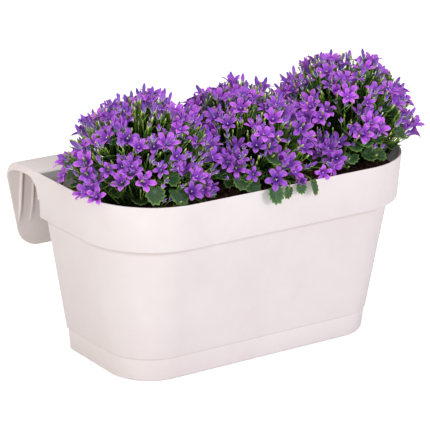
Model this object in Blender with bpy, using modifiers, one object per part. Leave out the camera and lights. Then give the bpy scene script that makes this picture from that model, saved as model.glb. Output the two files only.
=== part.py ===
"""Three trailing bellflowers in a long balcony planter with railing hooks.

Metres, +Z up. The origin is the middle of the foot's underside, +X runs along the planter,
-Y is its rounded front and the hooks stand behind its flat back.
"""
import math
from collections import namedtuple

import bmesh
import bpy
from mathutils import Matrix, Vector
from mathutils.bvhtree import BVHTree

# Planter: plan sections, each a rectangle with two wide front corners
Section = namedtuple("Section", "height length back front radius")
RIM = Section(0.2405, 0.4600, 0.0835, -0.1229, 0.0975)
BAND_FOOT = Section(0.1818, 0.4548, 0.0835, -0.1181, 0.0950)
BODY_TOP = Section(0.1818, 0.4373, 0.0825, -0.1052, 0.0857)
BASE = Section(0.0, 0.3757, 0.0775, -0.0775, 0.0569)
BACK_CORNER = 0.004
WALL = 0.003
RIM_BEVEL = 0.0009
BASE_ROUNDING = 0.005
BASE_ROUNDING_STEPS = ((0.8, 0.0), (0.3, 0.3), (0.0, 1.0))
FOOT_HEIGHT = 0.0305
FOOT_STEP = 0.0012
FRONT_STEPS = 8
BACK_STEPS = 2

# Railing hooks
HOOK_OUTER_END = 0.2290
HOOK_WIDTH = 0.0740
HOOK_TOP = 0.2400
HOOK_REACH = 0.1605
HOOK_BEND = 0.0260
HOOK_BEND_DEPTH = 1.2
HOOK_TOP_EASE = 0.4
HOOK_BEND_STEPS = 5
HOOK_FOOT_HEIGHT = 0.1126
HOOK_FOOT_REACH = 0.1706
HOOK_SIDE_SLANT = 0.244
HOOK_OUTER_ROUNDING = 0.0340
HOOK_INNER_ROUNDING = 0.0080
HOOK_FLANGE_ROWS = (0.40, 0.745, 0.85, 0.92, 0.965, 0.99, 1.0)
HOOK_PLATE = 0.0030
LIP_DEPTH = 0.0092
LIP_THICKNESS = 0.0026
LIP_CHEEK = 0.0260
LIP_EDGE = 0.0005
LIP_LEAN = 0.35
LIP_STEPS = 4
RIB_THICKNESS = 0.0020
RIB_DEPTH = 0.0045
RIB_PLACES = (0.0187, 0.0357, 0.0527)
RIB_TOP = 0.2300
RIB_KNEE_HEIGHT = 0.1750
RIB_FOOT_HEIGHT = 0.1460

# Soil
GAP = 0.0003
SOIL_TOP = 0.2145
SOIL_BUMP = 0.0022
SOIL_RINGS = (0.12, 0.38, 0.70)
SOIL_WIDE_WAVES = (61, 74)
SOIL_FINE_WAVES = (183, 201)

# Plants: centre, half sizes and roundness of each clump's dome of blooms
Clump = namedtuple("Clump", "name x y half_x half_y height power sprays turn")
DOME_FOOT = 0.2270
CLUMPS = (
    Clump("left_plant", -0.144, -0.022, 0.105, 0.093, 0.128, 2.1, 19, 0.4),
    Clump("middle_plant", 0.003, -0.022, 0.090, 0.096, 0.121, 2.3, 21, 1.7),
    Clump("right_plant", 0.157, -0.022, 0.105, 0.093, 0.136, 2.2, 19, 3.3),
)
NEIGHBOUR_CLEAR = 0.95
LOWEST_SPRAY = 0.17
UPWARD_LEAN = 0.45
GOLDEN_ANGLE = math.pi * (3 - math.sqrt(5))

# Sprays of bells
STALK_LENGTH = 0.0225
STALK_RADIUS = 0.0012
STALK_TAIL = 0.0020
BELL_RADIUS = 0.0140
BELL_VARIATION = 0.20
BELL_SPREAD = math.radians(54)
MIDDLE_TILT = 0.1
BELL_TURN_BACK = 0.45
BELL_UPTURN = 0.25
SPREAD_VARIATION = 0.16
ROUND_VARIATION = 0.5
LOWEST_BELL = 0.2530
SIDE_BELLS = 3
PETALS = 5
PETAL_NOTCH = 0.45
PETAL_LIFT = 0.06
THROAT_DEPTH = 0.40
NOTCH_DEPTH = 0.35
BELL_ROOT_SINK = 0.0018

# Foliage
CORE_DEPTH = 0.0490
CORE_LIFT = 0.0050
CORE_BOWL = 0.0080
CORE_SPIKE = 0.0130
CORE_LOW_SPIKES = 0.3
CORE_SEGMENTS = 13
CORE_RINGS = 8
CORE_SURE = 0.88
HEART_SHARE = 0.35
LEAF_ROOT = 0.0050
LEAVES = 25
LEAF_SIZE = 0.0341
LEAF_SHRINK = 0.364
LEAF_VARIATION = 0.3
LEAF_CROWDING = 1.1
LEAF_RISE = math.radians(40)
LEAF_TURN = 1.1
LOWEST_LEAF = 0.04
HIGHEST_LEAF = 0.86
LEAF_CAMBER = 0.0005
LEAF_BELLY = 0.0008
LEAF_MIDDLE = 0.38
LEAF_CUP = 0.0016
SHOOTS = 8
SHOOT_RADIUS = 0.0008
BUD_LENGTH = 0.0100
BUD_RADIUS = 0.0017
SHOOT_TURN = 5.0
SHOOT_LEAN = 0.9
LOWEST_SHOOT = 0.25
HIGHEST_SHOOT = 0.97
SPRAY_STEM_FOOT = 0.0014
SPRAY_STEM_TIP = 0.0011
MAIN_STEMS = 4
MAIN_STEM_RADIUS = 0.0018
MAIN_STEM_CIRCLE = 0.0240
MAIN_STEM_TOP = 0.0200
HOLE_SIZE = 1.45
ROOTING_DEPTH = 0.0250
CLEARANCE = 0.0002

# A leaf's right-hand edge from its stalk's top to its tip, for a blade one unit long
LEAF_EDGE = ((0.07, -0.02), (0.37, -0.10), (0.48, 0.24), (0.34, 0.42), (0.34, 0.66), (0.0, 1.0))
LEAF_STALK = 0.75
LEAF_STALK_HALF = 0.06

# Leaves of the middle plant that hang over the front rim: how far along, blade length and stalk share
RIM_LEAVES = ((-0.022, 0.023, 0.20), (0.004, 0.020, 0.28), (0.042, 0.024, 0.50))
RIM_LEAF_REACH = 0.0032
RIM_LEAF_RISE = 0.0042
RIM_LEAF_LEAN = 0.25
RUNNER_START = 0.6
RUNNER_DEPTH = 0.034
RUNNER_RISE = 0.016
RUNNER_OVERLAP = 0.06


def clear_scene():
    """Start from an empty file."""
    for item in list(bpy.data.objects):
        bpy.data.objects.remove(item)


def new_collection(name):
    """A collection linked to the scene."""
    group = bpy.data.collections.new(name)
    bpy.context.scene.collection.children.link(group)
    return group


def finish(name, red, green, blue, roughness):
    """A plain surface, with its colour given as seen on a screen from 0 to 255."""
    material = bpy.data.materials.new(name)
    material.use_nodes = True
    shader = material.node_tree.nodes["Principled BSDF"]
    linear = [(channel / 255) ** 2.2 for channel in (red, green, blue)]
    shader.inputs["Base Color"].default_value = (*linear, 1)
    shader.inputs["Roughness"].default_value = roughness
    shader.inputs["Metallic"].default_value = 0
    material.diffuse_color = (*linear, 1)
    return material


def add_object(name, shape, group, material=None):
    """Turn a bmesh into an object with its faces pointing out."""
    bmesh.ops.recalc_face_normals(shape, faces=shape.faces)
    mesh = bpy.data.meshes.new(name)
    shape.to_mesh(mesh)
    item = bpy.data.objects.new(name, mesh)
    group.objects.link(item)
    if material:
        mesh.materials.append(material)
    return item


def mark_as_tool(item):
    """Show a cutter or a joined piece as wire and keep it out of renders."""
    item.hide_render = True
    item.display_type = "WIRE"


def scatter(index, channel):
    """A repeatable number from 0 to 1 that looks random."""
    value = math.sin(index * 12.9898 + channel * 78.233) * 43758.5453
    return value - math.floor(value)


def mix(low, high, share):
    """The section between two others."""
    return Section(*(a + (b - a) * share for a, b in zip(low, high)))


def at_height(low, high, height):
    """The section at a height between two others."""
    return mix(low, high, (height - low.height) / (high.height - low.height))


def inset(section, distance):
    """The same section drawn inwards."""
    return section._replace(
        length=section.length - 2 * distance,
        back=section.back - distance,
        front=section.front + distance,
        radius=section.radius - distance,
    )


def outline(section):
    """The points of a section, clockwise from above, from its right back corner."""
    half = section.length / 2
    wide = section.radius
    tight = BACK_CORNER
    corners = (
        (half - tight, section.back - tight, tight, 90, BACK_STEPS),
        (half - wide, section.front + wide, wide, 0, FRONT_STEPS),
        (wide - half, section.front + wide, wide, -90, FRONT_STEPS),
        (tight - half, section.back - tight, tight, 180, BACK_STEPS),
    )
    points = []
    for x, y, radius, start, steps in corners:
        for step in range(steps + 1):
            angle = math.radians(start - 90 * step / steps)
            across = x + radius * math.cos(angle)
            deep = y + radius * math.sin(angle)
            points.append(Vector((across, deep, section.height)))
    return points


def loft(shape, rings, close_first=True, close_last=True):
    """Join rings of points that have the same count."""
    loops = [[shape.verts.new(point) for point in ring] for ring in rings]
    count = len(loops[0])
    for lower, upper in zip(loops, loops[1:]):
        for i in range(count):
            j = (i + 1) % count
            shape.faces.new((lower[i], lower[j], upper[j], upper[i]))
    if close_first:
        shape.faces.new(loops[0])
    if close_last:
        shape.faces.new(loops[-1])
    return loops


def planter_skin():
    """The planter's outer surface, open at the rim, with the edges that are to be bevelled."""
    foot_top = FOOT_HEIGHT - FOOT_STEP
    rounding = [inset(at_height(BASE, BODY_TOP, up * BASE_ROUNDING), inward * BASE_ROUNDING)
                for inward, up in BASE_ROUNDING_STEPS]
    sections = (
        *rounding,
        inset(at_height(BASE, BODY_TOP, foot_top), FOOT_STEP),
        at_height(BASE, BODY_TOP, FOOT_HEIGHT),
        BODY_TOP,
        BAND_FOOT,
        RIM,
    )
    skin = bmesh.new()
    loops = loft(skin, [outline(section) for section in sections], close_last=False)
    weight = skin.edges.layers.float.new("bevel_weight_edge")
    for loop in (loops[-1], loops[-2]):
        for a, b in zip(loop, loop[1:] + loop[:1]):
            skin.edges.get((a, b))[weight] = 1.0
    return skin


def hook_section():
    """The hook's outer line in the YZ plane, from the rim over the bend to its foot."""
    foot = Vector((0, HOOK_FOOT_REACH, HOOK_FOOT_HEIGHT))
    shoulder = Vector((0, HOOK_REACH, HOOK_TOP - HOOK_BEND))
    depth = HOOK_BEND_DEPTH * HOOK_BEND
    flat_end = HOOK_REACH - depth - HOOK_TOP_EASE * HOOK_BEND
    points = [Vector((0, RIM.back - WALL, HOOK_TOP)), Vector((0, flat_end, HOOK_TOP))]
    for step in range(1, HOOK_BEND_STEPS + 1):
        angle = math.radians(90 * (1 - step / HOOK_BEND_STEPS))
        across = HOOK_REACH - depth + depth * math.cos(angle)
        points.append(Vector((0, across, HOOK_TOP - HOOK_BEND + HOOK_BEND * math.sin(angle))))
    for share in HOOK_FLANGE_ROWS:
        points.append(shoulder.lerp(foot, share))
    return points


def hook_ends(rise):
    """How far in from the hook's outer end its two sides stand, at a height above its foot."""
    drop = HOOK_TOP - HOOK_BEND - HOOK_FOOT_HEIGHT
    rise = max(0, rise)
    steep = math.sqrt(1 + HOOK_SIDE_SLANT ** 2)
    radius = HOOK_OUTER_ROUNDING
    outer = HOOK_SIDE_SLANT * max(0, drop - rise)
    if rise < radius * (1 - HOOK_SIDE_SLANT / steep):
        centre = radius * steep + HOOK_SIDE_SLANT * (drop - radius)
        outer = centre - math.sqrt(radius ** 2 - (radius - rise) ** 2)
    fall = max(0, HOOK_INNER_ROUNDING - rise)
    inner = HOOK_WIDTH - HOOK_INNER_ROUNDING + math.sqrt(HOOK_INNER_ROUNDING ** 2 - fall ** 2)
    return outer, inner


def hook_sheet():
    """The hook's plate, drawn at the right-hand end, with its foot's corners rounded."""
    sheet = bmesh.new()
    rows = []
    for point in hook_section():
        outer, inner = hook_ends(point.z - HOOK_FOOT_HEIGHT)
        rows.append([sheet.verts.new(point + Vector((HOOK_OUTER_END - end, 0, 0))) for end in (inner, outer)])
    for (a, b), (c, d) in zip(rows, rows[1:]):
        sheet.faces.new((a, c, d, b))
    return sheet


def plate_across_x(points, x, thickness):
    """A flat plate with its outline in the YZ plane, centred on x."""
    plate = bmesh.new()
    sides = [[Vector((x + side * thickness / 2, point.y, point.z)) for point in points] for side in (-1, 1)]
    loft(plate, sides)
    return plate


def hook_lip(x):
    """The stiffening edge that runs from the band up over the hook's top."""
    line = hook_section()[:6]
    wall = BAND_FOOT.back - WALL
    arch = []
    for point in reversed(line[2:]):
        depth = LIP_DEPTH * (point.z - HOOK_TOP + HOOK_BEND) / HOOK_BEND + LIP_EDGE
        arch.append(Vector((0, point.y - LIP_LEAN * depth, point.z - depth)))
    for step in range(LIP_STEPS + 1):
        angle = math.radians(90 * step / LIP_STEPS)
        across = BAND_FOOT.back + LIP_CHEEK * (1 - math.sin(angle))
        arch.append(Vector((0, across, HOOK_TOP - LIP_DEPTH - LIP_CHEEK * (1 - math.cos(angle)))))
    arch.append(Vector((0, wall, HOOK_TOP - LIP_DEPTH - LIP_CHEEK)))
    return plate_across_x(line + arch, x, LIP_THICKNESS)


def on_flange(height, depth):
    """A point at a height, and at a depth behind the flange's outer face."""
    shoulder = HOOK_TOP - HOOK_BEND
    lean = (HOOK_FOOT_REACH - HOOK_REACH) / (shoulder - HOOK_FOOT_HEIGHT)
    return Vector((0, HOOK_REACH + lean * (shoulder - height) - depth, height))


def hook_rib(x):
    """A slim rib on the flange's inner side, which fades out towards its foot."""
    bend = [point - Vector((0, HOOK_PLATE / 3, HOOK_PLATE / 2)) for point in hook_section()[4:7]]
    edge = HOOK_PLATE + RIB_DEPTH
    ends = [on_flange(RIB_FOOT_HEIGHT, HOOK_PLATE / 2), on_flange(RIB_KNEE_HEIGHT, edge)]
    return plate_across_x([on_flange(RIB_TOP, edge)] + bend + ends, x, RIB_THICKNESS)


def hook_pieces(group):
    """The plate, lips and ribs of both hooks."""
    pieces = []
    inner_end = HOOK_OUTER_END - HOOK_WIDTH
    for side, name in ((-1, "left"), (1, "right")):
        sheet = hook_sheet()
        for vertex in sheet.verts:
            vertex.co.x *= side
        plate = add_object(name + "_hook_plate", sheet, group)
        wall = plate.modifiers.new("plate", "SOLIDIFY")
        wall.thickness = HOOK_PLATE
        wall.offset = -1 if faces_outward(plate) else 1
        wall.use_even_offset = True
        pieces.append(plate)
        for x in (HOOK_OUTER_END - LIP_THICKNESS / 2, inner_end + LIP_THICKNESS / 2):
            pieces.append(add_object(name + "_hook_lip", hook_lip(side * x), group))
        for place in RIB_PLACES:
            pieces.append(add_object(name + "_hook_rib", hook_rib(side * (HOOK_OUTER_END - place)), group))
    for piece in pieces:
        mark_as_tool(piece)
    return pieces


def faces_outward(item):
    """Whether an open sheet's first face, on the hook's top, points up."""
    return item.data.polygons[0].normal.z > 0


def make_planter(parts, tools, material):
    """The planter with its hooks, one moulding."""
    planter = add_object("planter", planter_skin(), parts, material)
    wall = planter.modifiers.new("wall", "SOLIDIFY")
    wall.thickness = WALL
    wall.offset = -1
    wall.use_even_offset = True
    edges = planter.modifiers.new("edges", "BEVEL")
    edges.limit_method = "WEIGHT"
    edges.width = RIM_BEVEL
    edges.segments = 1
    hook_pieces(tools)
    join = planter.modifiers.new("hooks", "BOOLEAN")
    join.operation = "UNION"
    join.operand_type = "COLLECTION"
    join.collection = tools
    join.solver = "EXACT"
    planter.data.shade_smooth()
    planter.data.set_sharp_from_angle(angle=math.radians(30))
    return planter


def soil_height(x, y):
    """Low crumbly bumps over the soil's top."""
    wide = math.sin(SOIL_WIDE_WAVES[0] * x + 1.0) * math.cos(SOIL_WIDE_WAVES[1] * y + 0.5)
    fine = math.sin(SOIL_FINE_WAVES[0] * x + 2.0) * math.sin(SOIL_FINE_WAVES[1] * y + 4.0)
    return SOIL_TOP + SOIL_BUMP * (0.6 * wide + 0.4 * fine)


def make_soil(parts, tools, material):
    """The soil that fills the planter, with a plain hole for each main stem."""
    clear = WALL + GAP
    ledge = BODY_TOP.height + WALL + 2 * GAP
    foot = BASE_ROUNDING + WALL
    sections = (
        inset(at_height(BASE, BODY_TOP, clear), clear + BASE_ROUNDING),
        inset(at_height(BASE, BODY_TOP, foot), clear + FOOT_STEP),
        inset(BODY_TOP, clear + RIM_BEVEL)._replace(height=ledge),
        inset(at_height(BAND_FOOT, RIM, ledge), clear + RIM_BEVEL),
        inset(at_height(BAND_FOOT, RIM, SOIL_TOP), clear),
    )
    rings = [outline(section) for section in sections]
    edge = rings[-1]
    middle = (sections[-1].back + sections[-1].front) / 2
    reach = sections[-1].length / 2 - (sections[-1].back - sections[-1].front) / 2
    for share in SOIL_RINGS:
        ring = []
        for point in edge:
            spine = Vector((max(-reach, min(reach, point.x)), middle, SOIL_TOP))
            place = point.lerp(spine, share)
            place.z = soil_height(place.x, place.y)
            ring.append(place)
        rings.append(ring)
    body = bmesh.new()
    loft(body, rings)
    soil = add_object("potting_soil", body, parts, material)
    for clump in CLUMPS:
        for x, y in main_stem_places(clump):
            hole = bmesh.new()
            depth = ROOTING_DEPTH + GAP
            matrix = Matrix.Translation((x, y, SOIL_TOP - depth / 2 + SOIL_BUMP * 2))
            radius = MAIN_STEM_RADIUS * HOLE_SIZE
            bmesh.ops.create_cone(hole, cap_ends=True, segments=6, radius1=radius, radius2=radius,
                                  depth=depth + SOIL_BUMP * 4, matrix=matrix)
            mark_as_tool(add_object("stem_hole", hole, tools))
    cut = soil.modifiers.new("stem_holes", "BOOLEAN")
    cut.operation = "DIFFERENCE"
    cut.operand_type = "COLLECTION"
    cut.collection = tools
    cut.solver = "EXACT"
    return soil


def main_stem_places(clump):
    """Where a clump's main stems enter the soil."""
    for i in range(MAIN_STEMS):
        angle = clump.turn + math.tau * i / MAIN_STEMS
        yield clump.x + MAIN_STEM_CIRCLE * math.cos(angle), clump.y + MAIN_STEM_CIRCLE * math.sin(angle)


def dome_value(clump, point, shrink=0.0):
    """Under 1 inside the clump's dome and over 1 outside it."""
    across = abs((point.x - clump.x) / (clump.half_x - shrink)) ** clump.power
    deep = abs((point.y - clump.y) / (clump.half_y - shrink)) ** clump.power
    tall = abs((point.z - DOME_FOOT) / (clump.height - shrink)) ** clump.power
    return (across + deep + tall) ** (1 / clump.power)


def dome_point(clump, height_share, angle, shrink=0.0):
    """The point of the dome in a direction, and the dome's outward normal there."""
    level = math.sqrt(1 - height_share ** 2)
    centre = Vector((clump.x, clump.y, DOME_FOOT))
    ray = Vector((level * math.cos(angle), level * math.sin(angle), height_share))
    ray.x *= clump.half_x
    ray.y *= clump.half_y
    ray.z *= clump.height
    point = centre + ray / dome_value(clump, centre + ray)
    offset = point - centre
    halves = (clump.half_x, clump.half_y, clump.height)
    slope = [abs(offset[k] / halves[k]) ** (clump.power - 1) / halves[k] for k in range(3)]
    normal = Vector([math.copysign(slope[k], offset[k]) for k in range(3)]).normalized()
    return point - normal * shrink, normal


def spray_places(clump):
    """Each spray's root, its axis and its number, over the part of the dome that shows."""
    others = [other for other in CLUMPS if other is not clump]
    for i in range(clump.sprays):
        share = 1 - (1 - LOWEST_SPRAY) * (i + 0.5) / clump.sprays
        point, normal = dome_point(clump, share, clump.turn + GOLDEN_ANGLE * i)
        if any(dome_value(other, point) < NEIGHBOUR_CLEAR for other in others):
            continue
        axis = (normal + Vector((0, 0, UPWARD_LEAN))).normalized()
        yield i, point - axis * STALK_LENGTH, axis


def frame_along(axis, spin=0.0):
    """A rotation whose Z is the axis."""
    return axis.to_track_quat("Z", "Y").to_matrix() @ Matrix.Rotation(spin, 3, "Z")


def bells_of(number, root, axis, turn=0.0):
    """The stalk's way, the facing, the spin and the radius of each bell in a spray, the middle one first."""
    base = frame_along(axis, turn + math.tau * scatter(number, 1))
    for k in range(SIDE_BELLS + 1):
        spread = BELL_SPREAD * (1 + SPREAD_VARIATION * (scatter(number, 10 + k) - 0.5))
        tilt = MIDDLE_TILT if k == 0 else spread
        round_angle = math.tau * k / SIDE_BELLS + ROUND_VARIATION * (scatter(number, 20 + k) - 0.5)
        way = base @ Vector((math.sin(tilt) * math.cos(round_angle), math.sin(tilt) * math.sin(round_angle),
                             math.cos(tilt)))
        way.z += max(0, LOWEST_BELL - root.z - STALK_LENGTH * way.z) / STALK_LENGTH
        way.normalize()
        facing = (way.lerp(axis, BELL_TURN_BACK) + Vector((0, 0, BELL_UPTURN))).normalized()
        radius = BELL_RADIUS * (1 + BELL_VARIATION * (scatter(number, 30 + k) - 0.5))
        yield way, facing, math.tau * scatter(number, 40 + k), radius


def add_bell(shape, root, way, facing, spin, radius, blunt):
    """A five-pointed bell on its tube, which ends blunt on the stalk or in a point sunk in it."""
    turn = frame_along(facing, spin)
    centre = root + way * STALK_LENGTH
    step = math.tau / PETALS

    def place(distance, angle, height):
        spot = Vector((distance * math.cos(angle), distance * math.sin(angle), height))
        return shape.verts.new(centre + turn @ spot)

    heart = place(0, 0, -THROAT_DEPTH * radius)
    tips = [place(radius, step * k, PETAL_LIFT * radius) for k in range(PETALS)]
    notches = [place(PETAL_NOTCH * radius, step * (k + 0.5), -NOTCH_DEPTH * radius) for k in range(PETALS)]
    for k in range(PETALS):
        shape.faces.new((heart, notches[k - 1], tips[k]))
        shape.faces.new((heart, tips[k], notches[k]))
        shape.faces.new((notches[k - 1], notches[k], tips[k]))
    if blunt:
        foot = []
        for k in range(PETALS):
            angle = step * (k + 0.5)
            across = turn @ Vector((STALK_RADIUS * math.cos(angle), STALK_RADIUS * math.sin(angle), 0))
            foot.append(shape.verts.new(root - way * STALK_TAIL + across))
        for k in range(PETALS):
            shape.faces.new((notches[k - 1], foot[k - 1], foot[k], notches[k]))
        shape.faces.new(foot)
    else:
        point = shape.verts.new(root - way * BELL_ROOT_SINK)
        for k in range(PETALS):
            shape.faces.new((notches[k - 1], point, notches[k]))


def add_bud(shape, root, way, reach, foot_radius, radius, sides=3):
    """A closed bud on its stalk, one slim spindle that starts at the root."""
    turn = frame_along(way)
    rings = []
    for along, size in ((0.0, foot_radius), (reach - 0.5 * BUD_LENGTH, radius)):
        ring = []
        for k in range(sides):
            angle = math.tau * k / sides
            ring.append(root + turn @ Vector((size * math.cos(angle), size * math.sin(angle), along)))
        rings.append(ring)
    belt = loft(shape, rings, close_last=False)[-1]
    tip = shape.verts.new(root + way * reach)
    for k in range(sides):
        shape.faces.new((tip, belt[k - 1], belt[k]))


def spray_shapes(number, root, axis, turn, scale):
    """The bells of a spray, each a closed shape."""
    shapes = []
    for k, (way, facing, spin, radius) in enumerate(bells_of(number, root, axis, turn)):
        bell = bmesh.new()
        add_bell(bell, root, way, facing, spin, radius * scale, blunt=k == 0)
        shapes.append(bell)
    return shapes


def surface_of(shapes, swell=CLEARANCE):
    """A search tree over shapes that are swollen a little."""
    points = []
    faces = []
    for shape in shapes:
        bmesh.ops.recalc_face_normals(shape, faces=shape.faces)
        shape.normal_update()
        shape.verts.index_update()
        start = len(points)
        points += [vertex.co + vertex.normal * swell for vertex in shape.verts]
        faces += [[start + vertex.index for vertex in face.verts] for face in shape.faces]
    return BVHTree.FromPolygons(points, faces)


def surface_of_object(item):
    """A search tree over an object as its modifiers leave it."""
    graph = bpy.context.evaluated_depsgraph_get()
    mesh = item.evaluated_get(graph).to_mesh()
    points = [vertex.co for vertex in mesh.vertices]
    tree = BVHTree.FromPolygons(points, [face.vertices for face in mesh.polygons])
    item.evaluated_get(graph).to_mesh_clear()
    return tree


def meets(tree, others):
    """Whether a surface cuts any other."""
    return any(tree.overlap(other) for other in others)


def fuse(name, shapes, parts, material):
    """Join closed shapes in one solid, the first one first."""
    pieces = new_collection(name + "_pieces")
    body = add_object(name, shapes[0], parts, material)
    for shape in shapes[1:]:
        add_object(name + "_piece", shape, pieces)
    join = body.modifiers.new("join", "BOOLEAN")
    join.operation = "UNION"
    join.operand_type = "COLLECTION"
    join.collection = pieces
    join.solver = "MANIFOLD"
    graph = bpy.context.evaluated_depsgraph_get()
    joined = bpy.data.meshes.new_from_object(body.evaluated_get(graph))
    body.modifiers.remove(join)
    body.data = joined
    for item in list(pieces.objects):
        bpy.data.objects.remove(item)
    bpy.data.collections.remove(pieces)
    tidy_solid(joined)
    return body


def tidy_solid(mesh):
    """Split the faces into triangles and keep only the largest connected body."""
    shape = bmesh.new()
    shape.from_mesh(mesh)
    bmesh.ops.triangulate(shape, faces=shape.faces)
    bodies = sorted(connected_bodies(shape), key=len)
    scraps = [vertex for body in bodies[:-1] for vertex in body]
    bmesh.ops.delete(shape, geom=scraps, context="VERTS")
    shape.to_mesh(mesh)
    shape.free()


def connected_bodies(shape):
    """The vertices of each connected body."""
    unseen = set(shape.verts)
    bodies = []
    while unseen:
        front = [unseen.pop()]
        body = list(front)
        while front:
            vertex = front.pop()
            for edge in vertex.link_edges:
                other = edge.other_vert(vertex)
                if other in unseen:
                    unseen.remove(other)
                    front.append(other)
                    body.append(other)
        bodies.append(body)
    return bodies


# Turns, sizes and depths tried in order for a spray that would touch an earlier one
SPRAY_SIZES = ((1.0, 0.0), (0.95, 0.003), (0.95, -0.005), (0.88, 0.006), (0.88, -0.009), (0.76, 0.0),
               (0.65, -0.005))
SPRAY_TURNS = (0, 0.35, 0.7, 1.05, 1.4, 1.75)
SPRAY_FITS = [(turn, scale, sink) for scale, sink in SPRAY_SIZES for turn in SPRAY_TURNS]


# Leans towards the plant's heart and lengths tried in order for the stem that carries a spray
SPRAY_STEM_LEANS = (0.0, 0.3, 0.6, 0.9)
SPRAY_STEM_LENGTHS = (0.026, 0.034, 0.042, 0.052)
SPRAY_STEM_FITS = [(lean, length) for lean in SPRAY_STEM_LEANS for length in SPRAY_STEM_LENGTHS]


def place_sprays(obstacles):
    """Every spray with the turn, size and depth that keep it clear of the rest and the earlier ones."""
    placed = []
    for clump in CLUMPS:
        for number, root, axis in spray_places(clump):
            for turn, scale, sink in SPRAY_FITS:
                seat = root - axis * sink
                shapes = spray_shapes(number, seat, axis, turn, scale)
                tree = surface_of(shapes)
                if not meets(tree, obstacles + [spray["tree"] for spray in placed]):
                    break
            else:
                continue
            middle = next(bells_of(number, seat, axis, turn))[0]
            placed.append({"clump": clump, "number": number, "root": seat, "axis": axis, "middle": middle,
                           "shapes": shapes, "tree": tree})
    return placed


def add_stick(shape, start, end, radius, tip_radius, sides=3):
    """A tapered stick with flat ends."""
    way = (end - start).normalized()
    turn = frame_along(way)
    rings = []
    for place, size in ((start, radius), (end, tip_radius)):
        ring = []
        for k in range(sides):
            angle = math.tau * k / sides
            ring.append(place + turn @ Vector((size * math.cos(angle), size * math.sin(angle), 0)))
        rings.append(ring)
    loft(shape, rings)


def leaf_shape(root, way, face, size, stalk=LEAF_STALK):
    """A toothed heart-shaped blade, thickest at its middle, on a stalk that starts at the root."""
    side = way.cross(face).normalized()
    face = side.cross(way).normalized()
    start = root + way * stalk * size
    half_edge = ((LEAF_STALK_HALF, -stalk),) + LEAF_EDGE
    blade = bmesh.new()

    def place(across, along, lift):
        return blade.verts.new(start + side * across * size + way * along * size + face * lift)

    right = [place(across, along, LEAF_CUP * across) for across, along in half_edge]
    left = [place(-across, along, LEAF_CUP * across) for across, along in half_edge[-2::-1]]
    edge = right + left
    top = place(0, LEAF_MIDDLE, LEAF_CAMBER)
    under = place(0, LEAF_MIDDLE, -LEAF_BELLY)
    for a, b in zip(edge, edge[1:] + edge[:1]):
        blade.faces.new((a, b, top))
        blade.faces.new((b, a, under))
    return blade


def core_shape(clump):
    """The dense middle of the plant, which stems and leaves stand out of."""
    core = bmesh.new()
    bmesh.ops.create_uvsphere(core, u_segments=CORE_SEGMENTS, v_segments=CORE_RINGS, radius=1)
    for vertex in core.verts:
        ray = vertex.co.normalized()
        angle = math.atan2(ray.y, ray.x)
        if ray.z >= 0:
            point, normal = dome_point(clump, min(ray.z, 1.0), angle, CORE_DEPTH)
            spike = CORE_SPIKE * (CORE_LOW_SPIKES + (1 - CORE_LOW_SPIKES) * ray.z)
            vertex.co = point + normal * spike * scatter(vertex.index, 2)
        else:
            point, normal = dome_point(clump, 0.0, angle, CORE_DEPTH)
            level = math.sqrt(1 - ray.z ** 2)
            centre = Vector((clump.x, clump.y, 0))
            flat = centre + (Vector((point.x, point.y, 0)) - centre) * level
            vertex.co = Vector((flat.x, flat.y, DOME_FOOT + CORE_BOWL * ray.z))
        vertex.co.z += CORE_LIFT
    return core


def heart_shapes(clump):
    """The core and the main stems of one plant."""
    shapes = [core_shape(clump)]
    for x, y in main_stem_places(clump):
        stem = bmesh.new()
        foot = Vector((x, y, SOIL_TOP - ROOTING_DEPTH + SOIL_BUMP * 2))
        top = Vector((x, y, DOME_FOOT + MAIN_STEM_TOP))
        add_stick(stem, foot, top, MAIN_STEM_RADIUS, MAIN_STEM_RADIUS, sides=6)
        shapes.append(stem)
    if clump.name == "middle_plant":
        shapes += rim_leaves(clump)
    return shapes


def rim_leaves(clump):
    """Low leaves on runners that reach over the front rim and hang down in front of it."""
    shapes = []
    for x, size, stalk in RIM_LEAVES:
        root = Vector((x, RIM.front - RIM_LEAF_REACH, RIM.height + RIM_LEAF_RISE))
        way = Vector((0, -RIM_LEAF_LEAN, -1)).normalized()
        shapes.append(leaf_shape(root, way, Vector((0, -1, RIM_LEAF_LEAN)), size, stalk))
        across = clump.x + RUNNER_START * (x - clump.x)
        inside = Vector((across, clump.y - RUNNER_DEPTH, DOME_FOOT + RUNNER_RISE))
        runner = bmesh.new()
        end = root.lerp(inside, -RUNNER_OVERLAP * size / (inside - root).length)
        add_stick(runner, inside, end, MAIN_STEM_RADIUS, SPRAY_STEM_TIP)
        shapes.append(runner)
    return shapes


def growth_shapes(clump, sprays, obstacles):
    """The spray stems, leaves and green buds of one plant, clear of everything else."""
    stems = [spray_stem(clump, spray, obstacles) for spray in sprays if spray["clump"] is clump]
    return [stem for stem in stems if stem] + leaf_round(clump, obstacles) + shoot_round(clump, obstacles)


def within_core(clump, point):
    """Whether a point is safely inside the plant's core."""
    lowered = point - Vector((0, 0, CORE_LIFT))
    return lowered.z > DOME_FOOT and dome_value(clump, lowered, CORE_DEPTH) < CORE_SURE


def spray_stem(clump, spray, obstacles):
    """The green stem that carries a spray, from inside the core to just under its stalk."""
    heart = Vector((clump.x, clump.y, DOME_FOOT + HEART_SHARE * clump.height))
    outward = (spray["root"] - heart).normalized()
    for lean, length in SPRAY_STEM_FITS:
        way = spray["middle"].lerp(outward, lean).normalized()
        slant = SPRAY_STEM_TIP * math.sin(way.angle(spray["middle"]))
        top = spray["root"] - spray["middle"] * (STALK_TAIL + GAP + slant)
        start = top - way * length
        if not within_core(clump, start):
            continue
        stem = bmesh.new()
        add_stick(stem, start, top, SPRAY_STEM_FOOT, SPRAY_STEM_TIP)
        if not meets(surface_of([stem], 0), obstacles):
            return stem
    return None


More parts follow.
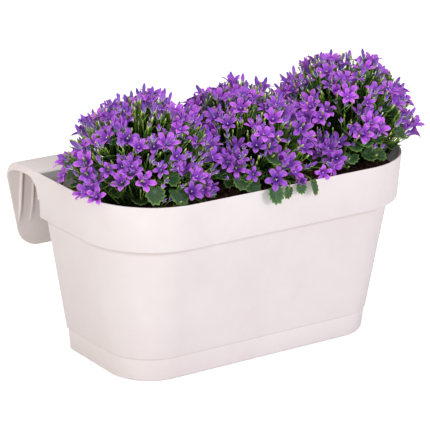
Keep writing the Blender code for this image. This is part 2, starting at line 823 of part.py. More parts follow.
# Rises and sizes tried in order for a leaf, and reaches for a shoot, that would touch a spray
LEAF_FITS = ((1.0, 1.0), (0.7, 0.9), (1.4, 0.8), (0.7, 0.75), (1.0, 0.6))
SHOOT_FITS = (0.040, 0.034, 0.028)


def leaf_round(clump, obstacles):
    """Leaves that lie over the core like loose scales, the largest and most of them low down."""
    shapes = []
    for i in range(LEAVES):
        share = LOWEST_LEAF + (HIGHEST_LEAF - LOWEST_LEAF) * (i / LEAVES) ** LEAF_CROWDING
        angle = clump.turn + LEAF_TURN + GOLDEN_ANGLE * i
        point, normal = dome_point(clump, share, angle, CORE_DEPTH + LEAF_ROOT)
        point.z += CORE_LIFT
        upward = (Vector((0, 0, 1)) - normal * normal.z).normalized()
        heading = math.tau * scatter(i, 3)
        along = upward * math.cos(heading) + normal.cross(upward) * math.sin(heading)
        size = LEAF_SIZE * (1 - LEAF_SHRINK * share) * (1 + LEAF_VARIATION * (scatter(i, 5) - 0.5))
        for rise, scale in LEAF_FITS:
            lift = LEAF_RISE * rise
            way = normal * math.sin(lift) + along * math.cos(lift)
            leaf = leaf_shape(point, way, normal * math.cos(lift) - along * math.sin(lift), size * scale)
            if not meets(surface_of([leaf]), obstacles):
                shapes.append(leaf)
                break
    return shapes


def shoot_round(clump, obstacles):
    """Upright green shoots with a young bud on each."""
    shapes = []
    for i in range(SHOOTS):
        share = HIGHEST_SHOOT - (HIGHEST_SHOOT - LOWEST_SHOOT) * (i + 0.5) / SHOOTS
        angle = clump.turn + SHOOT_TURN + GOLDEN_ANGLE * i
        point, normal = dome_point(clump, share, angle, CORE_DEPTH + LEAF_ROOT)
        point.z += CORE_LIFT
        way = (normal + Vector((0, 0, SHOOT_LEAN))).normalized()
        for reach in SHOOT_FITS:
            shoot = bmesh.new()
            add_bud(shoot, point, way, reach, SHOOT_RADIUS, BUD_RADIUS)
            if not meets(surface_of([shoot]), obstacles):
                shapes.append(shoot)
                break
    return shapes


def make_plants(parts, obstacles, green, violet):
    """The three plants, a green solid each, and a violet solid for each spray."""
    hearts = {clump.name: heart_shapes(clump) for clump in CLUMPS}
    trees = {name: surface_of(shapes) for name, shapes in hearts.items()}
    sprays = place_sprays(obstacles + list(trees.values()))
    obstacles = obstacles + [spray["tree"] for spray in sprays]
    for clump in CLUMPS:
        others = [tree for name, tree in trees.items() if name != clump.name]
        growth = growth_shapes(clump, sprays, obstacles + others)
        obstacles.append(surface_of(growth))
        fuse(clump.name + "_foliage", hearts[clump.name] + growth, parts, green)
    count = {}
    for spray in sprays:
        name = spray["clump"].name
        count[name] = count.get(name, 0) + 1
        fuse("{}_spray_{:02d}".format(name, count[name]), spray["shapes"], parts, violet)


def main():
    """Build the whole object."""
    clear_scene()
    parts = new_collection("potted_bellflower")
    hook_tools = new_collection("hook_tools")
    hole_tools = new_collection("hole_tools")
    plastic = finish("planter_plastic", 232, 221, 219, 0.42)
    earth = finish("potting_soil", 52, 37, 30, 0.95)
    green = finish("leaf_green", 62, 92, 44, 0.6)
    violet = finish("bell_violet", 158, 84, 214, 0.55)
    planter = make_planter(parts, hook_tools, plastic)
    soil = make_soil(parts, hole_tools, earth)
    make_plants(parts, [surface_of_object(planter), surface_of_object(soil)], green, violet)


main()
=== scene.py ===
"""The looks of the potted bellflower: plastic planter, peat, leaves, stems, buds and violet bells."""
import math
from collections import namedtuple

import bmesh
import bpy
from mathutils import Matrix, Vector


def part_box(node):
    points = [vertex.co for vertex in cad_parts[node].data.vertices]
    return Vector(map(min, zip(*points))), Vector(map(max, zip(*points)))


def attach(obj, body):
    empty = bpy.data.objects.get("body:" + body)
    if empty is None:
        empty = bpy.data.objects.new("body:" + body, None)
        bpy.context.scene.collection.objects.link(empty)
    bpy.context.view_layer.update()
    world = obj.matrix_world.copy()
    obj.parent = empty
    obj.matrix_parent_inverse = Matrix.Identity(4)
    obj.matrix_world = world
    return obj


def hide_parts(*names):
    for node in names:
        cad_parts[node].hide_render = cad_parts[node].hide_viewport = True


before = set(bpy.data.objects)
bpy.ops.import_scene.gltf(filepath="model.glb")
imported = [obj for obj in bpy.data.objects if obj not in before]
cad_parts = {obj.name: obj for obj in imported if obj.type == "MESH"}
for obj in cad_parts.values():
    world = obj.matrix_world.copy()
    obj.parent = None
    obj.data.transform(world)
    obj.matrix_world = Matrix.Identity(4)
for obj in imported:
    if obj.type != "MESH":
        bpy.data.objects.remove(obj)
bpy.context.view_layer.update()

# Camera, as fitted to the planter's edges
VIEW_AZIMUTH = math.radians(-34.6506)
VIEW_ELEVATION = math.radians(18.7562)
VIEW_ROLL = math.radians(0.7922)
VIEW_DISTANCE = 3.0664
VIEW_TARGET = Vector((-0.0353, -0.0225, 0.1804))
VIEW_LENS = 205.5

# Brightness of the sky as light, where the camera itself sees it white, and how far the floor lies below
SKY_GLOW = 0.46
FLOOR_DROP = 0.0004

# Planter: plan sections, each a rectangle with two wide front corners
Section = namedtuple("Section", "height length back front radius")
RIM = Section(0.2405, 0.4600, 0.0835, -0.1229, 0.0975)
BAND_FOOT = Section(0.1818, 0.4548, 0.0835, -0.1181, 0.0950)
BODY_TOP = Section(0.1818, 0.4373, 0.0825, -0.1052, 0.0857)
BASE = Section(0.0, 0.3757, 0.0775, -0.0775, 0.0569)
BACK_CORNER = 0.004
WALL = 0.003
BASE_ROUNDING = 0.005
FOOT_HEIGHT = 0.0305
FOOT_STEP = 0.0012
EDGE_ROUNDING = 0.0006
FRONT_SEGMENTS = 28
BACK_SEGMENTS = 4

# The planter's profile as height and distance inwards: in shares of the foot's rounding, and then in metres
# from the foot's step, from the band's foot and from the rim
ROUNDING_LINE = ((0.0, 0.8), (0.12, 0.45), (0.4, 0.18), (1.0, 0.0))
STEP_LINE = ((-0.0024, FOOT_STEP), (-0.0007, FOOT_STEP), (-0.0004, 0.3 * FOOT_STEP), (0.0004, 0.0))
BAND_LINE = ((-0.0001, 0.0015), (0.0003, 0.0005), (0.0012, 0.0))
RIM_LINE = ((-0.0009, 0.0), (-0.0003, 0.0002), (0.0, 0.0008))

# Railing hooks
HOOK_OUTER_END = 0.2290
HOOK_WIDTH = 0.0740
HOOK_TOP = 0.2400
HOOK_REACH = 0.1605
HOOK_BEND = 0.0260
HOOK_BEND_DEPTH = 1.2
HOOK_TOP_EASE = 0.4
HOOK_BEND_STEPS = 12
HOOK_FOOT_HEIGHT = 0.1126
HOOK_FOOT_REACH = 0.1706
HOOK_SIDE_SLANT = 0.244
HOOK_OUTER_ROUNDING = 0.0340
HOOK_INNER_ROUNDING = 0.0080
HOOK_FLANGE_ROWS = (0.25, 0.5, 0.745, 0.79, 0.83, 0.87, 0.905, 0.935, 0.96, 0.98, 0.993, 1.0)
HOOK_PLATE = 0.0030
LIP_DEPTH = 0.0092
LIP_THICKNESS = 0.0026
LIP_CHEEK = 0.0260
LIP_EDGE = 0.0005
LIP_LEAN = 0.35
LIP_STEPS = 8
LIP_PROUD = 0.0001
RIB_THICKNESS = 0.0020
RIB_DEPTH = 0.0045
RIB_PLACES = (0.0187, 0.0357, 0.0527)
RIB_TOP = 0.2300
RIB_KNEE_HEIGHT = 0.1700
RIB_FOOT_HEIGHT = 0.1380
PLATE_EDGE = 0.0003

# Soil
GAP = 0.0003
SOIL_TOP = 0.2145
SOIL_BUMP = 0.0022
SOIL_WIDE_WAVES = (61, 74)
SOIL_FINE_WAVES = (183, 201)
SOIL_CELL = 0.0045
SOIL_EDGE = 0.02
SOIL_LEDGE = (0.0036, 0.006)
SOIL_LEDGE_CLEAR = 0.001
LUMP_SIZE = 0.009
CRUMBS = 520
CRUMB_CLEAR = 0.008
CRUMB_SIZE = 0.0009
CRUMB_RANGE = 0.0022

# Plants: centre, half sizes and roundness of each clump's dome of blooms
Clump = namedtuple("Clump", "name x y half_x half_y height power sprays turn")
DOME_FOOT = 0.2270
CLUMPS = (
    Clump("left_plant", -0.144, -0.022, 0.105, 0.093, 0.128, 2.1, 19, 0.4),
    Clump("middle_plant", 0.003, -0.022, 0.090, 0.096, 0.121, 2.3, 21, 1.7),
    Clump("right_plant", 0.157, -0.022, 0.105, 0.093, 0.136, 2.2, 19, 3.3),
)
NEIGHBOUR_CLEAR = 0.95
LOWEST_SPRAY = 0.17
UPWARD_LEAN = 0.45
GOLDEN_ANGLE = math.pi * (3 - math.sqrt(5))

# Sprays: their measures, and the sizes, depths and turns that one may have in the frame
STALK_LENGTH = 0.0225
BELL_RADIUS = 0.0140
BELL_VARIATION = 0.20
BELL_SPREAD = math.radians(54)
MIDDLE_TILT = 0.1
BELL_TURN_BACK = 0.45
BELL_UPTURN = 0.25
SPREAD_VARIATION = 0.16
ROUND_VARIATION = 0.5
LOWEST_BELL = 0.2530
SIDE_BELLS = 3
PETAL_LIFT = 0.06
SPRAY_SIZES = ((1.0, 0.0), (0.95, 0.003), (0.95, -0.005), (0.88, 0.006), (0.88, -0.009), (0.76, 0.0),
               (0.65, -0.005))
SPRAY_TURNS = (0, 0.35, 0.7, 1.05, 1.4, 1.75)
SPRAY_FITS = [(turn, scale, sink) for scale, sink in SPRAY_SIZES for turn in SPRAY_TURNS]

# A bell: its tube as height and radius, and a petal beyond it as reach, height and half width
PETALS = 5
PETAL_COLUMNS = 4
TUBE = ((0.0, 0.0013), (0.0030, 0.0023), (0.0085, 0.0033), (0.0124, 0.0048))
PETAL_SHAPES = {
    "open": ((0.0076, 0.0152, 0.0034), (0.0099, 0.0168, 0.0038), (0.0123, 0.0176, 0.0026),
             (0.0146, 0.0172, 0.0001)),
    "rising": ((0.0068, 0.0158, 0.0034), (0.0090, 0.0180, 0.0038), (0.0114, 0.0196, 0.0026),
               (0.0138, 0.0200, 0.0001)),
    "curled": ((0.0078, 0.0148, 0.0033), (0.0103, 0.0158, 0.0037), (0.0127, 0.0153, 0.0025),
               (0.0144, 0.0136, 0.0001)),
    "opening": ((0.0051, 0.0162, 0.0031), (0.0056, 0.0194, 0.0029), (0.0059, 0.0222, 0.0018),
                (0.0068, 0.0248, 0.0001)),
}
BELL_SHARES = (("open", 0.48), ("rising", 0.66), ("curled", 0.93), ("opening", 1.0))
FULL_REACH = 0.0142
TIP_HEIGHT = 0.0165
PETAL_THICKNESS = 0.0003
KEEL = 0.0005

# Buds and stems as rows of height and radius
BIG_BUD = ((0.0, 0.0011), (0.0030, 0.0017), (0.0075, 0.0022), (0.0112, 0.0023), (0.0140, 0.0015),
           (0.0158, 0.0004))
SMALL_BUD = ((0.0, 0.0010), (0.0025, 0.0016), (0.0055, 0.0019), (0.0080, 0.0013), (0.0095, 0.0004))
YOUNG_TIP = ((0.0, 0.0007), (0.0018, 0.0013), (0.0048, 0.0012), (0.0074, 0.0004))
OVARY = ((-0.0026, 0.0007), (-0.0012, 0.0014), (0.0006, 0.0016))
SEPAL = ((0.0, 0.0013), (0.0080, 0.0048))
PISTIL = ((0.0, 0.0004), (0.0106, 0.0003), (0.0116, 0.0005), (0.0124, 0.0003))
STIGMA_HEIGHT = 0.0122
STIGMA_LENGTH = 0.0020
BRACT_LENGTH = 0.0110
REED = ((0.0, 1.0), (0.33, 1.0), (0.67, 1.0), (1.0, 1.0))

# Kinds of stem: radii at foot and tip, and how far from dark to pale green it is at each; the dark end is
# painted shade
Stem = namedtuple("Stem", "foot tip low high")
BELL_STALK = Stem(0.0007, 0.0006, 0.45, 0.7)
BUD_STALK = Stem(0.0007, 0.0006, 0.4, 0.7)
SPRAY_STEM = Stem(0.0012, 0.0009, 0.0, 0.5)
SHOOT_STEM = Stem(0.0007, 0.0005, 0.12, 0.78)
LEAF_STALK = Stem(0.0009, 0.0006, 0.0, 0.5)
FRONT_STALK = Stem(0.0011, 0.0008, 0.1, 0.6)
RIM_STALK = Stem(0.0009, 0.0008, 0.5, 0.7)
RUNNER = Stem(0.0012, 0.0009, 0.1, 0.5)
MAIN_STEM = Stem(0.0018, 0.0016, 0.1, 0.3)

# What fills a plant
SPRAY_STEM_LENGTH = 0.034
SPRAY_EXTRAS = 4
LEFT_EXTRAS_ABOVE = 0.31
SHOOT_FANS = 95
SHOOTS_EACH = 5
SHOOT_LENGTH = 0.042
CORE_DEPTH = 0.050
CORE_ROUGHNESS = 0.014
CORE_SAG = 0.008
CORE_LIFT = 0.003
MAIN_STEMS = 4
STEM_RING = 0.024

# Rows of leaves: count, share of the dome's height from and by, depth under the dome from and by, how far the
# tip lifts, how far the face turns outwards, and length
LeafRow = namedtuple("LeafRow", "count share share_range depth depth_range lift turn length")
SKIRT = LeafRow(46, 0.02, 0.34, 0.002, 0.026, -0.9, 1.1, 0.0230)
UPPER = LeafRow(80, 0.30, 0.66, 0.008, 0.018, 0.35, 1.8, 0.0165)

# A leaf: in shares of its radius the notch at its stalk and its point as size and width, its teeth, waves and
# the puffs between its veins, and in metres its thickness and width
LEAF_SPOKES = 36
LEAF_RINGS = (0.0, 0.45, 0.78, 1.0)
LEAF_NOTCH = (0.50, 0.30)
LEAF_POINT = (0.20, 0.45)
LEAF_TEETH = (-0.09, 0.0, 0.10)
LEAF_STALK_END = -0.45
LEAF_WAVE = 0.07
LEAF_PUFF = 0.035
LEAF_THICKNESS = 0.0004
LEAF_WIDTH = 0.02

# Leaves over the rim, on runners that pass before and above it: place along it, length, the stalk's share of
# that, sideways lean and which way the face turns
RUNNER_REACH = 0.0032
RUNNER_RISE = 0.0042
RIM_LEAVES = (
    (-0.0220, 0.0225, 0.20, 0.10, 0.0),
    (0.0035, 0.0160, 0.45, -0.40, 0.3),
    (0.0165, 0.0140, 0.40, 0.20, -0.3),
    (0.0345, 0.0205, 0.25, 0.10, 0.7),
)

# Blooms that stand out: the middle of their petals, the way they face and their size
FRONT_BLOOMS = (
    ((-0.0195, -0.1300, 0.2538), (-0.45, -0.80, 0.30), 1.05),
    ((0.0186, -0.1290, 0.2448), (-0.10, -0.85, 0.36), 0.80),
    ((0.0563, -0.1240, 0.2465), (-0.30, -0.85, -0.15), 0.85),
    ((0.0790, -0.1190, 0.2479), (0.30, -0.80, -0.30), 0.90),
    ((0.0870, -0.1120, 0.2580), (-0.20, -0.85, 0.20), 0.85),
    ((-0.0029, -0.1150, 0.2746), (-0.40, -0.75, 0.40), 0.72),
    ((-0.0402, -0.1090, 0.2581), (-0.60, -0.70, 0.20), 0.74),
    ((-0.0637, -0.0885, 0.2728), (-0.50, -0.75, 0.35), 0.82),
    ((-0.1030, -0.0950, 0.2570), (-0.50, -0.60, 0.30), 0.85),
    ((-0.0970, -0.1040, 0.2485), (0.10, -0.90, -0.30), 0.82),
    ((-0.1110, -0.1060, 0.2480), (-0.60, -0.70, -0.20), 0.80),
    ((-0.2236, -0.0720, 0.2850), (-0.30, -0.80, 0.45), 0.74),
    ((-0.2119, -0.0820, 0.2902), (-0.60, -0.60, 0.30), 0.74),
    ((-0.1992, -0.0890, 0.2927), (0.10, -0.55, 0.80), 1.00),
    ((-0.1699, -0.1040, 0.2849), (-0.40, -0.70, 0.50), 0.72),
    ((-0.1447, -0.1070, 0.2827), (0.60, -0.70, 0.20), 0.72),
    ((-0.1878, -0.0840, 0.3122), (-0.10, -0.55, 0.75), 0.85),
    ((-0.1277, -0.0830, 0.3253), (0.10, -0.45, 0.90), 0.90),
    ((-0.2384, -0.0490, 0.2747), (-0.50, -0.80, 0.10), 0.80),
    ((0.1181, -0.1020, 0.2885), (0.00, -0.90, -0.20), 0.72),
    ((0.0405, -0.0970, 0.3019), (-0.40, -0.70, 0.45), 1.00),
    ((0.0847, -0.0755, 0.3039), (-0.50, -0.50, 0.60), 0.90),
    ((0.1211, -0.0840, 0.3271), (-0.20, -0.65, 0.65), 0.85),
    ((0.1449, -0.0955, 0.3184), (0.10, -0.80, 0.45), 0.74),
    ((0.2460, -0.0450, 0.2660), (0.80, -0.50, -0.30), 0.85),
)

# Large leaves low at the front: the middle of the blade, the way its tip points and its length
FRONT_LEAVES = (
    ((-0.1790, -0.1050, 0.2500), (-0.3, -0.5, -0.8), 0.024),
    ((-0.1420, -0.1060, 0.2440), (0.2, -0.6, -0.8), 0.026),
    ((-0.1480, -0.0930, 0.2620), (-0.2, -0.7, -0.5), 0.022),
    ((-0.0520, -0.1040, 0.2440), (-0.4, -0.6, -0.6), 0.022),
    ((-0.0360, -0.1070, 0.2400), (0.3, -0.6, -0.5), 0.022),
    ((0.1540, -0.0900, 0.2420), (0.3, -0.7, -0.5), 0.021),
    ((0.1680, -0.0830, 0.2600), (-0.2, -0.7, -0.4), 0.024),
    ((0.2000, -0.0700, 0.2450), (0.5, -0.6, -0.4), 0.021),
    ((-0.2240, -0.0140, 0.2460), (-0.7, -0.3, -0.5), 0.017),
    ((-0.2130, -0.0300, 0.2440), (-0.6, -0.5, -0.5), 0.019),
    ((-0.2060, -0.0400, 0.2480), (-0.4, -0.7, -0.5), 0.018),
    ((-0.2180, -0.0260, 0.2540), (-0.6, -0.5, -0.2), 0.018),
    ((-0.1930, -0.0480, 0.2420), (-0.3, -0.8, -0.5), 0.018),
)

UP = Vector((0, 0, 1))

collection = bpy.data.collections.new("looks")
bpy.context.scene.collection.children.link(collection)


def scatter(index, channel):
    """A repeatable number from 0 to 1 that looks random."""
    value = math.sin(index * 12.9898 + channel * 78.233) * 43758.5453
    return value - math.floor(value)


def seen(red, green, blue):
    """A colour given as seen on a screen from 0 to 255, in the linear values that shaders take."""
    linear = [((channel / 255 + 0.055) / 1.055) ** 2.4 for channel in (red, green, blue)]
    return (*linear, 1)


def polar(radius, angle, height=0.0):
    """A place by its distance from Z, its angle round Z and its height."""
    return Vector((radius * math.cos(angle), radius * math.sin(angle), height))


# Bench: selecting, shaping and joining


def bare():
    """Leave edit mode and deselect every object."""
    if bpy.context.object and bpy.context.object.mode != "OBJECT":
        bpy.ops.object.mode_set(mode="OBJECT")
    bpy.ops.object.select_all(action="DESELECT")


def hold(piece):
    """Select one piece alone."""
    bare()
    piece.select_set(True)
    bpy.context.view_layer.objects.active = piece


def open_mesh(piece):
    """Go into edit mode with nothing selected."""
    hold(piece)
    bpy.ops.object.mode_set(mode="EDIT")
    bpy.ops.mesh.select_all(action="DESELECT")


def close_mesh():
    """Go back to object mode."""
    bpy.ops.object.mode_set(mode="OBJECT")


def pick(rule, kind="VERT"):
    """In edit mode, select just the vertices, edges or faces whose middle fits the rule."""
    bpy.ops.mesh.select_mode(type=kind)
    bpy.ops.mesh.select_all(action="DESELECT")
    mesh = bpy.context.edit_object.data
    shape = bmesh.from_edit_mesh(mesh)
    if kind == "VERT":
        for vertex in shape.verts:
            vertex.select_set(rule(vertex.co))
    elif kind == "EDGE":
        for edge in shape.edges:
            edge.select_set(rule((edge.verts[0].co + edge.verts[1].co) / 2))
    else:
        for face in shape.faces:
            face.select_set(rule(face.calc_center_median()))
    shape.select_flush_mode()
    bmesh.update_edit_mesh(mesh)


def pull(by):
    """Extrude what is selected and move it."""
    bpy.ops.mesh.extrude_region_move(TRANSFORM_OT_translate={"value": tuple(by)})


def pull_rows(rows):
    """Pull a ring through rows of height and radius."""
    for (height, radius), (next_height, next_radius) in zip(rows, rows[1:]):
        wider = next_radius / radius
        pull((0, 0, next_height - height))
        resize((wider, wider, 1), (0, 0, next_height))


def resize(by, centre):
    """In edit mode, scale what is selected about a centre."""
    bpy.ops.transform.resize(value=by, center_override=tuple(centre))


def pick_all():
    """In edit mode, select everything."""
    bpy.ops.mesh.select_all(action="SELECT")


def face_out():
    """In edit mode, turn all faces outwards."""
    pick_all()
    bpy.ops.mesh.normals_make_consistent(inside=False)


def apply(piece, kind, **settings):
    """Add a modifier and apply it."""
    hold(piece)
    modifier = piece.modifiers.new(kind.lower(), kind)
    for key, value in settings.items():
        setattr(modifier, key, value)
    bpy.ops.object.modifier_apply(modifier=modifier.name)


def newest(name):
    """Name the object that was just added, and its mesh."""
    piece = bpy.context.object
    piece.name = name
    piece.data.name = name
    return piece


def settle(piece):
    """Put the piece's place, turn and size in its mesh."""
    hold(piece)
    bpy.ops.object.transform_apply(location=True, rotation=True, scale=True)


def dress(piece, skin):
    """Give a piece one material."""
    piece.data.materials.clear()
    piece.data.materials.append(skin)


def spike(name, sides, radii, middle, way, length):
    """A cone along a way, from its foot's radius to its tip's."""
    bpy.ops.mesh.primitive_cone_add(vertices=sides, radius1=radii[0], radius2=radii[1], depth=length,
                                    location=middle, rotation=way.to_track_quat("Z", "Y").to_euler())
    return newest(name)


def join(pieces, name):
    """Join pieces in one object."""
    bare()
    for piece in pieces:
        piece.select_set(True)
    bpy.context.view_layer.objects.active = pieces[0]
    bpy.ops.object.join()
    return newest(name)


def smooth(piece, degrees):
    """Shade a piece smooth, with edges sharper than the angle left crisp."""
    hold(piece)
    bpy.ops.object.shade_smooth_by_angle(angle=math.radians(degrees))


def note(mesh, name, values):
    """Keep one number for each point of a mesh, for its material to read."""
    layer = mesh.attributes.get(name) or mesh.attributes.new(name, "FLOAT", "POINT")
    layer.data.foreach_set("value", values)


def rise_along(mesh, low=0.0, high=1.0):
    """Note each point's height as its place along, from low at the foot to high at the top."""
    heights = [vertex.co.z for vertex in mesh.vertices]
    foot, top = min(heights), max(heights)
    note(mesh, "along", [low + (high - low) * (height - foot) / (top - foot) for height in heights])


def copy_at(template, matrix, tone):
    """A copy of a template with its own mesh, put in place, and a tone of its own."""
    piece = template.copy()
    piece.data = template.data.copy()
    piece.data.transform(matrix)
    note(piece.data, "tone", [tone] * len(piece.data.vertices))
    collection.objects.link(piece)
    return piece


def drop(templates):
    """Remove templates that have been copied."""
    for template in templates:
        bpy.data.objects.remove(template)


# Materials


def node(tree, kind, inputs=None, **settings):
    """Add a node with its settings and its input values or links."""
    made = tree.nodes.new("ShaderNode" + kind)
    for key, value in settings.items():
        setattr(made, key, value)
    for key, value in (inputs or {}).items():
        socket = made.inputs[key]
        if isinstance(value, bpy.types.NodeSocket):
            tree.links.new(value, socket)
        else:
            socket.default_value = value
    return made


def ramp(tree, factor, *stops):
    """A colour ramp over a value, from stops that give a place and a colour as seen."""
    made = node(tree, "ValToRGB", {"Fac": factor})
    band = made.color_ramp
    while len(band.elements) < len(stops):
        band.elements.new(0.5)
    for element, (place, *colour) in zip(band.elements, stops):
        element.position = place
        element.color = seen(*colour)
    return made.outputs["Color"]


def mask(tree, factor, start, end, low=0.0, high=1.0):
    """A value that goes softly from low to high between two values of a factor."""
    made = node(tree, "MapRange", {"Value": factor, "From Min": start, "From Max": end, "To Min": low,
                                   "To Max": high}, interpolation_type="SMOOTHSTEP")
    return made.outputs["Result"]


def times(tree, first, second):
    """Two values multiplied."""
    return node(tree, "Math", {0: first, 1: second}, operation="MULTIPLY").outputs[0]


def window(tree, factor, start, full, fade, end, strength=1.0):
    """A value that rises to a strength and falls back to nothing along a factor."""
    rise = mask(tree, factor, start, full, 0.0, strength)
    return times(tree, rise, mask(tree, factor, fade, end, 1.0, 0.0))


def blend(tree, factor, first, second):
    """Mix two colours by a factor."""
    return node(tree, "Mix", {0: factor, 6: first, 7: second}, data_type="RGBA").outputs[2]


def surface(name, roughness, bleed=0.0, radius=(0.001, 0.001, 0.001), shine=0.5):
    """A material with its Principled shader, how light bleeds through its skin, and how much it shines."""
    material = bpy.data.materials.new(name)
    material.use_nodes = True
    shader = material.node_tree.nodes["Principled BSDF"]
    shader.inputs["Roughness"].default_value = roughness
    shader.inputs["Specular IOR Level"].default_value = shine
    shader.inputs["Subsurface Weight"].default_value = bleed
    shader.inputs["Subsurface Radius"].default_value = radius
    shader.inputs["Subsurface Scale"].default_value = 1.0
    return material, material.node_tree, shader


def make_mottle_group():
    """Soft uneven patches, with a finer grain in them, over a surface in its own place."""
    group = bpy.data.node_groups.new("mottle", "ShaderNodeTree")
    for name, start in (("Patch Size", 20.0), ("Grain Size", 200.0), ("Grain Share", 0.4)):
        socket = group.interface.new_socket(name, in_out="INPUT", socket_type="NodeSocketFloat")
        socket.default_value = start
    group.interface.new_socket("Value", in_out="OUTPUT", socket_type="NodeSocketFloat")
    start = group.nodes.new("NodeGroupInput")
    end = group.nodes.new("NodeGroupOutput")
    place = node(group, "TexCoord").outputs["Object"]
    patches = node(group, "TexNoise", {"Vector": place, "Scale": start.outputs["Patch Size"], "Detail": 3.0})
    grain = node(group, "TexNoise", {"Vector": place, "Scale": start.outputs["Grain Size"], "Detail": 4.0})
    mixed = node(group, "Mix", {0: start.outputs["Grain Share"], 2: patches.outputs["Fac"],
                                3: grain.outputs["Fac"]})
    spread = node(group, "MapRange", {"Value": mixed.outputs[0], "From Min": 0.35, "From Max": 0.65})
    group.links.new(spread.outputs["Result"], end.inputs["Value"])
    return group


def make_tone_group():
    """Shift a colour a little lighter or darker and warmer or cooler, by a copy's tone."""
    group = bpy.data.node_groups.new("own_tone", "ShaderNodeTree")
    group.interface.new_socket("Color", in_out="INPUT", socket_type="NodeSocketColor")
    for name, start in (("Hue Range", 0.02), ("Light Range", 0.3)):
        socket = group.interface.new_socket(name, in_out="INPUT", socket_type="NodeSocketFloat")
        socket.default_value = start
    group.interface.new_socket("Color", in_out="OUTPUT", socket_type="NodeSocketColor")
    start = group.nodes.new("NodeGroupInput")
    end = group.nodes.new("NodeGroupOutput")
    tone = node(group, "Attribute", attribute_name="tone").outputs["Fac"]
    off = node(group, "Math", {0: tone, 1: 0.5}, operation="SUBTRACT").outputs[0]
    hue = node(group, "Math", {0: off, 1: start.outputs["Hue Range"], 2: 0.5}, operation="MULTIPLY_ADD")
    light = node(group, "Math", {0: off, 1: start.outputs["Light Range"], 2: 1.0}, operation="MULTIPLY_ADD")
    turned = node(group, "HueSaturation", {"Hue": hue.outputs[0], "Value": light.outputs[0],
                                           "Color": start.outputs["Color"]})
    group.links.new(turned.outputs["Color"], end.inputs["Color"])
    return group


MOTTLE = make_mottle_group()
OWN_TONE = make_tone_group()


def mottle(tree, patch, grain, share):
    """The mottle value in a material."""
    sizes = {"Patch Size": patch, "Grain Size": grain, "Grain Share": share}
    return node(tree, "Group", sizes, node_tree=MOTTLE).outputs["Value"]


def own_tone(tree, colour, hue_range, light_range):
    """A colour shifted by the copy's own tone."""
    inputs = {"Color": colour, "Hue Range": hue_range, "Light Range": light_range}
    return node(tree, "Group", inputs, node_tree=OWN_TONE).outputs["Color"]


def coloured(tree, shader, colour):
    """Give a surface its colour."""
    tree.links.new(colour, shader.inputs["Base Color"])


def bumped(tree, shader, height, strength, distance):
    """Raise the surface by a height value."""
    made = node(tree, "Bump", {"Height": height, "Strength": strength, "Distance": distance})
    tree.links.new(made.outputs["Normal"], shader.inputs["Normal"])


def attribute(tree, name):
    """A number kept with the mesh."""
    return node(tree, "Attribute", attribute_name=name).outputs["Fac"]


def rib_shade(tree, place):
    """Painted shade over the flange's inner side, and painted shadow beside its ribs, where the trough and
    the ribs shade the hook.
    """
    skin = on_flange(0.0, HOOK_PLATE).y
    slant = node(tree, "Math", {0: place["Z"], 1: skin - on_flange(1.0, HOOK_PLATE).y, 2: place["Y"]},
                 operation="MULTIPLY_ADD").outputs[0]
    # Painted shade: the flange's inner side, darker where the trough shades it
    painted_inner_shade = window(tree, slant, skin - 0.0008, skin - 0.0003, skin + 0.0008, skin + 0.0016, 0.2)
    across = node(tree, "Math", {0: place["X"]}, operation="ABSOLUTE").outputs[0]
    beside = None
    # Painted shadow: a dark strip beside each rib, on the flange where the rib shades it
    for rib in RIB_PLACES:
        edge = HOOK_OUTER_END - rib - RIB_THICKNESS / 2
        rib_shadow_strip = window(tree, across, edge - 0.0062, edge - 0.0042, edge, edge + 0.0004, 0.75)
        beside = node(tree, "Math", {0: rib_shadow_strip, 1: beside}).outputs[0] if beside else rib_shadow_strip
    along = mask(tree, place["Z"], RIB_FOOT_HEIGHT, RIB_FOOT_HEIGHT + 0.055)
    return painted_inner_shade, times(tree, times(tree, beside, along), mask(tree, painted_inner_shade, 0.0, 0.2))


def planter_plastic():
    """Warm off-white satin plastic, with painted shade under its band, at its foot's step and in its hooks.
    """
    material, tree, shader = surface("planter_plastic", 0.42, 0.03, (0.004, 0.003, 0.0025))
    patches = mottle(tree, 9.0, 60.0, 0.25)
    colour = ramp(tree, patches, (0.0, 226, 213, 210), (1.0, 231, 220, 218))
    place = node(tree, "SeparateXYZ", {0: node(tree, "TexCoord").outputs["Object"]}).outputs
    trough = mask(tree, place["Y"], RIM.back + 0.0001, RIM.back + 0.0003, 1.0, 0.0)
    ledge = BODY_TOP.height
    # Painted shadow under the band's overhang, and a painted shade line at the foot's step, both kept off the
    # hooks
    painted_band_shadow = window(tree, place["Z"], ledge - 0.0100, ledge - 0.0048, ledge - 0.0002, ledge, 0.32)
    painted_foot_shade = window(tree, place["Z"], FOOT_HEIGHT - 0.0014, FOOT_HEIGHT - 0.0002, FOOT_HEIGHT,
                       FOOT_HEIGHT + 0.0012, 0.30)
    shade = times(tree, node(tree, "Math", {0: painted_band_shadow, 1: painted_foot_shade}).outputs[0], trough)
    colour = blend(tree, shade, colour, seen(168, 146, 136))
    # Painted shade on the hooks' inner sides, and painted shadow beside their ribs
    painted_inner_shade, painted_rib_shadow = rib_shade(tree, place)
    colour = blend(tree, painted_inner_shade, colour, seen(190, 168, 152))
    colour = blend(tree, painted_rib_shadow, colour, seen(150, 124, 106))
    coloured(tree, shader, colour)
    satin = mask(tree, mottle(tree, 30.0, 900.0, 0.6), 0.0, 1.0, 0.36, 0.47)
    tree.links.new(satin, shader.inputs["Roughness"])
    bumped(tree, shader, mottle(tree, 24.0, 1400.0, 0.75), 0.10, 0.0002)
    return material


def peat():
    """Dark damp potting peat with paler fibres."""
    material, tree, shader = surface("potting_soil", 0.95, shine=0.15)
    crumbs = mottle(tree, 160.0, 900.0, 0.5)
    colour = ramp(tree, crumbs, (0.0, 50, 30, 25), (0.5, 100, 66, 54), (1.0, 168, 124, 98))
    coloured(tree, shader, own_tone(tree, colour, 0.02, 0.8))
    bumped(tree, shader, crumbs, 0.9, 0.0015)
    return material


